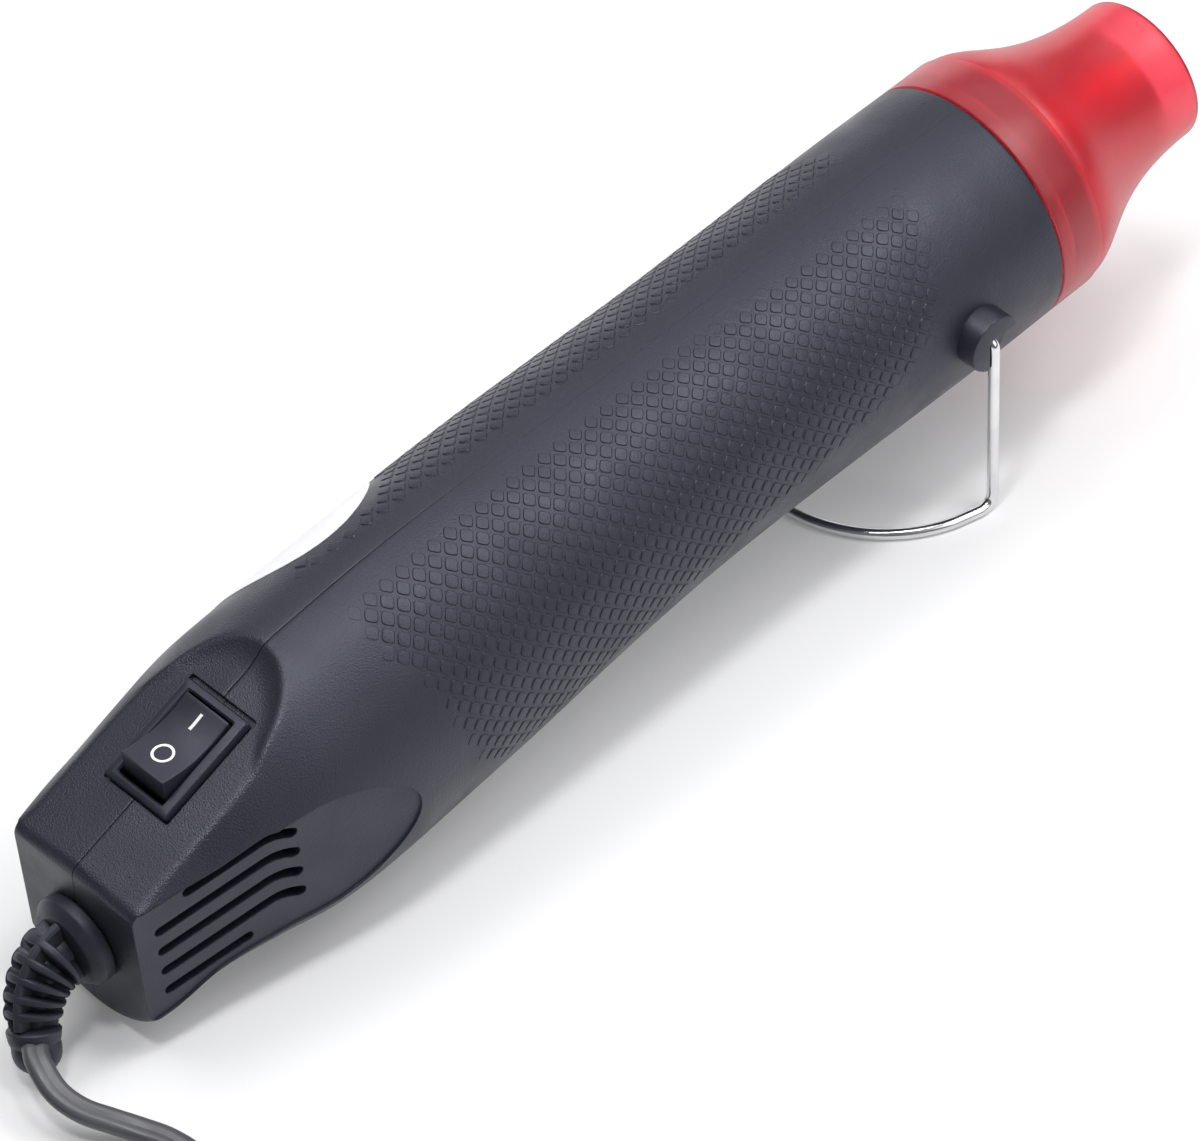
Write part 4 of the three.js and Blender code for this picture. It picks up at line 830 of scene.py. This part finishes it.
def body_halves():
    for name, side, node in (("body_right", 1, "right_shell"), ("body_left", -1, "left_shell")):
        half = body_half(name, side)
        slots = [prism(f"slot_{k}", slot_outline(k), -side * OUTSIDE, -side * SLOT_INNER)
                 for k in range(SLOT_COUNT)]
        wells = [prism("well", circle(WELL_RADIUS + 0.05, POST_SIDES) + (x, z), HEAD_SEAT, OUTSIDE)
                 for x, z, shows in SCREW_POSTS if shows and side < 0]
        cut(half, leaf_cutter(side), seat_cutter(), *slots, *wells)
        turn_outward(half.data)
        smooth(half, 40)
        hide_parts(node)


body_halves()
screw_posts()


# Grip pads: rounded squares on two crossing helices
def inside_border(x, degrees):
    """Which pads are inside the border, and how far from it."""
    within = np.zeros(x.shape, bool)
    away = np.full(x.shape, np.inf)
    scale = math.radians(BODY_RADIUS)
    points = [(a, d * scale) for a, d in GRIP_BORDER]
    w = degrees * scale
    for (x0, w0), (x1, w1) in zip(points, points[1:] + points[:1]):
        run, climb = x1 - x0, w1 - w0
        crosses = (w0 > w) != (w1 > w)
        within ^= crosses & (x < x0 + (w - w0) * run / (climb or 1e-9))
        along = np.clip(((x - x0) * run + (w - w0) * climb) / (run ** 2 + climb ** 2), 0, 1)
        away = np.minimum(away, np.hypot(x - x0 - along * run, w - w0 - along * climb))
    return within, away


def grip(name, side):
    i, k = np.meshgrid(np.arange(-PAD_REACH, PAD_REACH), np.arange(-PAD_REACH, PAD_REACH))
    x = PAD_MIDDLE + PAD_PITCH * (i + k).ravel() / math.sqrt(2)
    degrees = np.degrees(PAD_PITCH * (i - k).ravel() / math.sqrt(2) / BODY_RADIUS)
    within, away = inside_border(x, degrees)
    ovals = [(LABEL_AT, LABEL_DEGREES, LABEL_LONG + LABEL_MARGIN, LABEL_HIGH + LABEL_MARGIN)]
    for at, high, shows in SCREW_POSTS:
        if shows:
            turn = math.degrees(math.atan2(body_side(at, high), high - section(np.array(at))[3]))
            ovals.append((at, turn, WELL_RADIUS + WELL_MARGIN, WELL_STRETCH * WELL_RADIUS + WELL_MARGIN))
    for at, turn, long, high in ovals if side < 0 else []:
        within &= np.hypot((x - at) / long, (degrees - turn) * math.radians(BODY_RADIUS) / high) > 1
    x, degrees, away = x[within], degrees[within], away[within]
    rise = PAD_RISE * eased(away / PAD_FADE + 0.25)
    half = PAD_SIZE / 2
    ring = []
    for su, sv in ((1, 1), (-1, 1), (-1, -1), (1, -1)):
        ends = [(half, half - PAD_CORNER), (half - 0.15, half - 0.15), (half - PAD_CORNER, half)]
        ring += [(su * u, sv * v) for u, v in (ends if su * sv > 0 else ends[::-1])]
    layers = []
    for shrink, lift in PAD_LAYERS:
        u, v = np.array(ring).T * shrink
        phi = np.radians(degrees)[:, None] + (u - v) / math.sqrt(2) / BODY_RADIUS
        layers.append(body_point(x[:, None] + (u + v) / math.sqrt(2), side * phi, rise[:, None] * lift))
    pads = np.stack(layers, 1)
    make(name, *join([stack(pad) for pad in pads]), pad_plastic, slot="housing", angle=20)


grip("grip_right", 1)
grip("grip_left", -1)


# Blank oval label on the left
def label():
    c, s = circle(1, 96).T
    back = [(k / LABEL_RINGS, LABEL_BACK) for k in range(1, LABEL_RINGS + 1)]
    front = [(k / LABEL_RINGS, LABEL_FRONT) for k in range(LABEL_RINGS - 1, 0, -1)]
    rings = []
    for share, lift in back + [(1.0, 0.1), (0.99, LABEL_FRONT)] + front:
        phi = -math.radians(LABEL_DEGREES) + LABEL_HIGH * share * s / BODY_RADIUS
        rings.append(body_point(LABEL_AT + LABEL_LONG * share * c, phi, lift))
    return stack(rings)


make("label", *label(), label_white, slot="white_plastic", angle=50)


# Lugs
def lug_piece(name, side, proud, notched):
    face = SWELL_RADIUS + proud
    profile = [(SWELL_RADIUS - 2.0, LUG_RADIUS), (face - 0.45, LUG_RADIUS),
               (face - 0.12, LUG_RADIUS - 0.15), (face, LUG_RADIUS - 0.5)]
    centre = np.array((LUG_AT, LUG_HEIGHT))
    rings = [upright(circle(r, 56) + centre, side * y) for y, r in profile]
    made = make(name, *stack(rings), lug_plastic, slot="housing")
    room = WIRE_RADIUS + WIRE_ROOM
    cutters = []
    if notched:
        reach = LUG_RADIUS + room
        leg = -math.pi / 2 - LEG_LEAN
        folded = leg + math.pi / 2

        def at(angle, r):
            return centre + r * ray(angle)

        def corner(angle, turn):
            return at(angle, reach) + room * ray(angle + turn)

        heel = [at(folded + math.pi / 2 + (leg + math.pi - folded) * k / 12, room) for k in range(13)]
        outline = [corner(leg, -math.pi / 2), at((leg + folded) / 2, 2 * reach),
                   corner(folded, math.pi / 2), *heel]
        ends = sorted((side * (SWELL_RADIUS + NOTCH_FLOOR), side * (face + 2)))
        cutters.append(prism("notch", outline, *ends))
    ends = sorted((side * (SWELL_RADIUS - 4), side * (face + 3)))
    cutters.append(prism("bore", circle(room, 24) + centre, *ends))
    cut(made, *cutters)
    smooth(made, 35)


lug_piece("lug_right", -1, LUG_PROUD, True)
lug_piece("lug_left", 1, LOW_LUG_PROUD, False)


# Wire stand
def stand_line():
    down = np.array([-math.sin(LEG_LEAN), 0, -math.cos(LEG_LEAN)])
    back = np.array([-math.cos(TILT), 0, math.sin(TILT)])
    axis = np.array([LUG_AT, 0, LUG_HEIGHT])
    foot = axis + down * LEG_LENGTH
    left = np.array([0, 1.0, 0])

    def corner(at, before, after, radius):
        t = np.linspace(0, 1, 9)[:, None]
        start, end = at - before * radius, at + after * radius
        return (1 - t) ** 2 * start + 2 * t * (1 - t) * at + t * t * end

    def side(sign):
        out = left * sign
        top, heel = axis + out * WIRE_HALF_SPAN, foot + out * WIRE_HALF_SPAN
        pin = top - out * WIRE_PIN
        leg = np.linspace(top + down * (WIRE_BEND + 1), heel - down * (FOOT_BEND + 1), 8)
        return [pin, pin + out * 2, *corner(top, out, down, WIRE_BEND), *leg,
                *corner(heel, down, back, FOOT_BEND)]

    loop = [foot - left * WIRE_HALF_SPAN * c + back * FOOT_REACH * s
            for c, s in ray(np.linspace(0, math.pi, 61)[6:-6]).T]
    return np.array([*side(-1), *loop, *side(1)[::-1]])


stand = make("stand_wire", *stack(carried(stand_line(), circle(WIRE_RADIUS, 18), (1, 0, 0))), steel_wire,
             body="stand", slot="wire", angle=60)
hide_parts("kickstand")


# Guard and the spigot that it snaps on
def guard_profile():
    share = np.linspace(0, 1, 40)
    flare = bezier([(BAND_LENGTH, BODY_RADIUS), (BAND_LENGTH + FLARE_START, BODY_RADIUS),
                    (GUARD_LENGTH - FLARE_END, MOUTH_RADIUS), (GUARD_LENGTH, MOUTH_RADIUS)], share)
    flare[:, 1] -= BAND_STEP * (1 - share) ** 2
    tangent = np.gradient(flare, axis=0)
    tangent /= np.linalg.norm(tangent, axis=1)[:, None]
    inner = flare + GUARD_WALL * np.stack([tangent[:, 1], -tangent[:, 0]], 1)
    bore, mouth_bore = BODY_RADIUS - GUARD_WALL, MOUTH_RADIUS - GUARD_WALL
    lip = 0.3
    rim = [(GUARD_LENGTH - lip, MOUTH_RADIUS), (GUARD_LENGTH - 0.08, MOUTH_RADIUS - 0.09),
           (GUARD_LENGTH, MOUTH_RADIUS - lip), (GUARD_LENGTH, mouth_bore + lip),
           (GUARD_LENGTH - 0.08, mouth_bore + 0.09)]
    rear = [(4.8, bore), (4.0, bore - 0.6), (3.2, bore), (FIT, bore), (FIT, BODY_RADIUS - 0.2),
            (FIT + 0.2, BODY_RADIUS), (BAND_LENGTH - 0.35, BODY_RADIUS),
            (BAND_LENGTH - 0.1, BODY_RADIUS - 0.08)]
    line = [*map(tuple, flare[:-1]), *rim, *map(tuple, inner[::-1][1:]), *rear]
    return [(BODY_LENGTH + x, r) for x, r in line]


guard = make("guard", *lathe(guard_profile(), 96), guard_red, slot="guard", angle=40)
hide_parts("nozzle_guard")

spigot_radius = BODY_RADIUS - GUARD_WALL - FIT
spigot_bore, spigot_end = spigot_radius - SPIGOT_WALL, BAND_LENGTH - FIT
spigot = [(-1.8, spigot_radius), (3.2, spigot_radius), (4.0, spigot_radius - 0.6), (4.8, spigot_radius),
          (spigot_end - 0.3, spigot_radius), (spigot_end, spigot_radius - 0.3),
          (spigot_end, spigot_bore), (-1.8, spigot_bore)]
make("spigot", *lathe([(BODY_LENGTH + x, r) for x, r in spigot], 72), body_plastic, slot="housing")


# Switch
def switch_shape():
    floor = -SEAT_DEPTH + FIT
    top = floor + BEZEL_HEIGHT
    rings = [(SWITCH_LENGTH, SWITCH_WIDTH, 0.5, floor - SWITCH_DEPTH),
             (SWITCH_LENGTH, SWITCH_WIDTH, 0.5, floor),
             (BEZEL_LENGTH, BEZEL_WIDTH, 0.7, floor), (BEZEL_LENGTH, BEZEL_WIDTH, 0.7, top - 0.7),
             (BEZEL_LENGTH - 0.5, BEZEL_WIDTH - 0.5, 0.7, top - 0.2),
             (BEZEL_LENGTH - 1.2, BEZEL_WIDTH - 1.2, 0.7, top),
             (WINDOW_LENGTH + 0.7, WINDOW_WIDTH + 0.7, 0.5, top),
             (WINDOW_LENGTH, WINDOW_WIDTH, 0.4, top - 0.35),
             (WINDOW_LENGTH, WINDOW_WIDTH, 0.4, top - WELL_DEPTH)]
    return stack([on_face(round_box(*ring)) for ring in rings])


bezel = make("switch_frame", *switch_shape(), switch_plastic, slot="switch", angle=30)
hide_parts("switch_body")

ROCKER_LOW, ROCKER_HIGH, ROCKER_TOP, ROCKER_DIP = 8.2, 7.6, 4.7, 3.1
ROCKER_KEEL, ROCKER_KEEL_HALF, ROCKER_SKIRT = 5.2, 4.0, 1.5


def rocker_height(x):
    """Top of the rocker above its pivot."""
    return ROCKER_DIP + (ROCKER_TOP - ROCKER_DIP) * (np.abs(x) / ROCKER_HIGH) ** 1.8


def rocked(points):
    x, y, z = np.moveaxis(np.asarray(points, float), -1, 0)
    c, s = ray(ROCK_ANGLE)
    return on_face(np.stack([x * c + z * s, y, z * c - x * s - PIVOT_DEPTH], -1))


def rocker_shape():
    x = np.linspace(ROCKER_HIGH, -ROCKER_HIGH, 25)
    top = np.stack([x, rocker_height(x)], 1)
    low = [(-ROCKER_LOW, 0), (-ROCKER_LOW + FIT, -ROCKER_SKIRT), (-ROCKER_KEEL_HALF, -ROCKER_KEEL),
           (ROCKER_KEEL_HALF, -ROCKER_KEEL), (ROCKER_LOW - FIT, -ROCKER_SKIRT), (ROCKER_LOW, 0)]
    outline = np.concatenate([top, low])
    half = WINDOW_WIDTH / 2 - FIT
    return stack([rocked(upright(outline, y)) for y in (-half, half)])


rocker = make("rocker_key", *rocker_shape(), switch_plastic, body="rocker", slot="switch")
bevel(rocker, 0.3, 3, 40)
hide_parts("rocker")


def on_rocker(u, v, lift):
    return rocked(np.stack([u, v, rocker_height(u) + lift], -1))


def rocker_marks():
    """A stroke towards the nozzle and a ring towards the tail."""
    sink, lift = -0.1, 0.04
    u = np.linspace(3.0, 6.1, 10)
    bar = [on_rocker(u, np.full(len(u), v), h)
           for v, h in ((-0.3, sink), (-0.3, lift), (0.3, lift), (0.3, sink))]
    c, s = ray(np.linspace(0, 2 * math.pi, 49))
    loop = [on_rocker(-3.0 + r * c, r * s, h)
            for r, h in ((1.52, sink), (1.52, lift), (2.0, lift), (2.0, sink))]
    return join([stack(np.stack(bar, 1)), stack(np.stack(loop, 1), caps=False)])


make("rocker_marks", *rocker_marks(), mark_white, body="rocker", slot="white_plastic", angle=30)

# Finishes of the pieces that stay as they are
FINISHES = [
    (steel_tube, "heater_tube"), (winding, "heater_coil"), (board_green, "rectifier_board"),
    (mica, "mica_washer", "mica_liner", "mica_plate_upright", "mica_plate_level"),
    (pale_plastic, "thermal_fuse", "motor_end_cap"), (plated, "motor_can", "motor_shaft"),
    (inner_plastic, "fan_impeller", "motor_mount", "air_duct"),
    (brass, "thermal_cutoff", "switch_terminal_1", "switch_terminal_2", "plug_blade_1", "plug_blade_2"),
    (switch_plastic, *(f"diode_{k}" for k in range(1, 5))),
    (plated, *(f"housing_screw_{k}" for k in range(1, 5))),
]
for finish, node in ((finish, frame["nodes"][name]) for finish, *names in FINISHES for name in names):
    node.data.materials.clear()
    node.data.materials.append(finish)
    weld = node.modifiers.new("weld", "WELD")
    weld.merge_threshold = 1e-6
    node.data.polygons.foreach_set("use_smooth", [True] * len(node.data.polygons))
    crisp = node.modifiers.new("crisp", "EDGE_SPLIT")
    crisp.split_angle = math.radians(35)


# Floor and light
FLOOR_TONES, FLOOR_HALF, FLOOR_GLOW = ((0.76, 0.76, 0.765), (0.79, 0.79, 0.795)), 15, 0.12


def backdrop():
    """A pale floor that glows a little to the camera, in mirrors and through the guard."""
    made, nodes, links, shader = material("pale_floor", FLOOR_TONES[0], 0.9)
    fill(shader, {"Specular IOR Level": 0.1, "Emission Color": WHITE})
    links.new(ramp(nodes, links, noise(nodes, links, 4, 2), *FLOOR_TONES), shader.inputs["Base Color"])
    rays = nodes.new("ShaderNodeLightPath").outputs
    seen = worked_out(nodes, links, "MAXIMUM", rays["Is Glossy Ray"], rays["Is Transmission Ray"])
    seen = worked_out(nodes, links, "MAXIMUM", rays["Is Camera Ray"], seen)
    links.new(worked_out(nodes, links, "MULTIPLY", seen, FLOOR_GLOW), shader.inputs["Emission Strength"])
    return made


floor_mesh = bpy.data.meshes.new("floor")
floor_corners = [(x * FLOOR_HALF, y * FLOOR_HALF, 0) for x, y in ((-1, -1), (1, -1), (1, 1), (-1, 1))]
floor_mesh.from_pydata(floor_corners, [], [(0, 1, 2, 3)])
floor_mesh.materials.append(backdrop())
floor = show("floor", floor_mesh)

world = bpy.data.worlds.new("studio")
bpy.context.scene.world = world
world.use_nodes = True
fill(world.node_tree.nodes["Background"], {"Color": (0.95, 0.97, 1.0, 1), "Strength": 0.17})


def softbox(name, place, target, width, height, power):
    data = bpy.data.lights.new(name, "AREA")
    data.shape, data.size, data.size_y, data.energy = "RECTANGLE", width, height, power
    made = show(name, data)
    made.location = place
    made.rotation_euler = (Vector(target) - Vector(place)).to_track_quat("-Z", "Y").to_euler()


# Lamps: name, place, target, width, height, power
LAMPS = [
    ("overhead", (0.45, 0.35, 1.0), (0.2, 0.1, 0), 1.2, 1.2, 5.2),
    ("rear_left", (-0.27, 0.37, 1.0), (-0.1, 0, 0.05), 0.45, 0.36, 2.6),
    ("zenith", (0.03, -0.11, 0.93), (-0.05, 0.0, 0.04), 0.17, 0.17, 1.6),
    ("rim", (-0.29, -0.13, 0.93), (-0.1, -0.01, 0.06), 0.12, 0.12, 1.9),
    ("key", (0.43, -0.3, 0.82), (0.02, 0, 0.04), 0.5, 0.34, 2.9),
    ("right", (0.32, -0.75, 0.6), (0.02, 0, 0.03), 0.8, 0.7, 2.7),
    ("left_rim", (0.35, 0.75, 0.14), (0.02, 0, 0.04), 1.0, 0.26, 1.1),
]
for lamp in LAMPS:
    softbox(*lamp)

bpy.context.scene.view_settings.view_transform = "Standard"
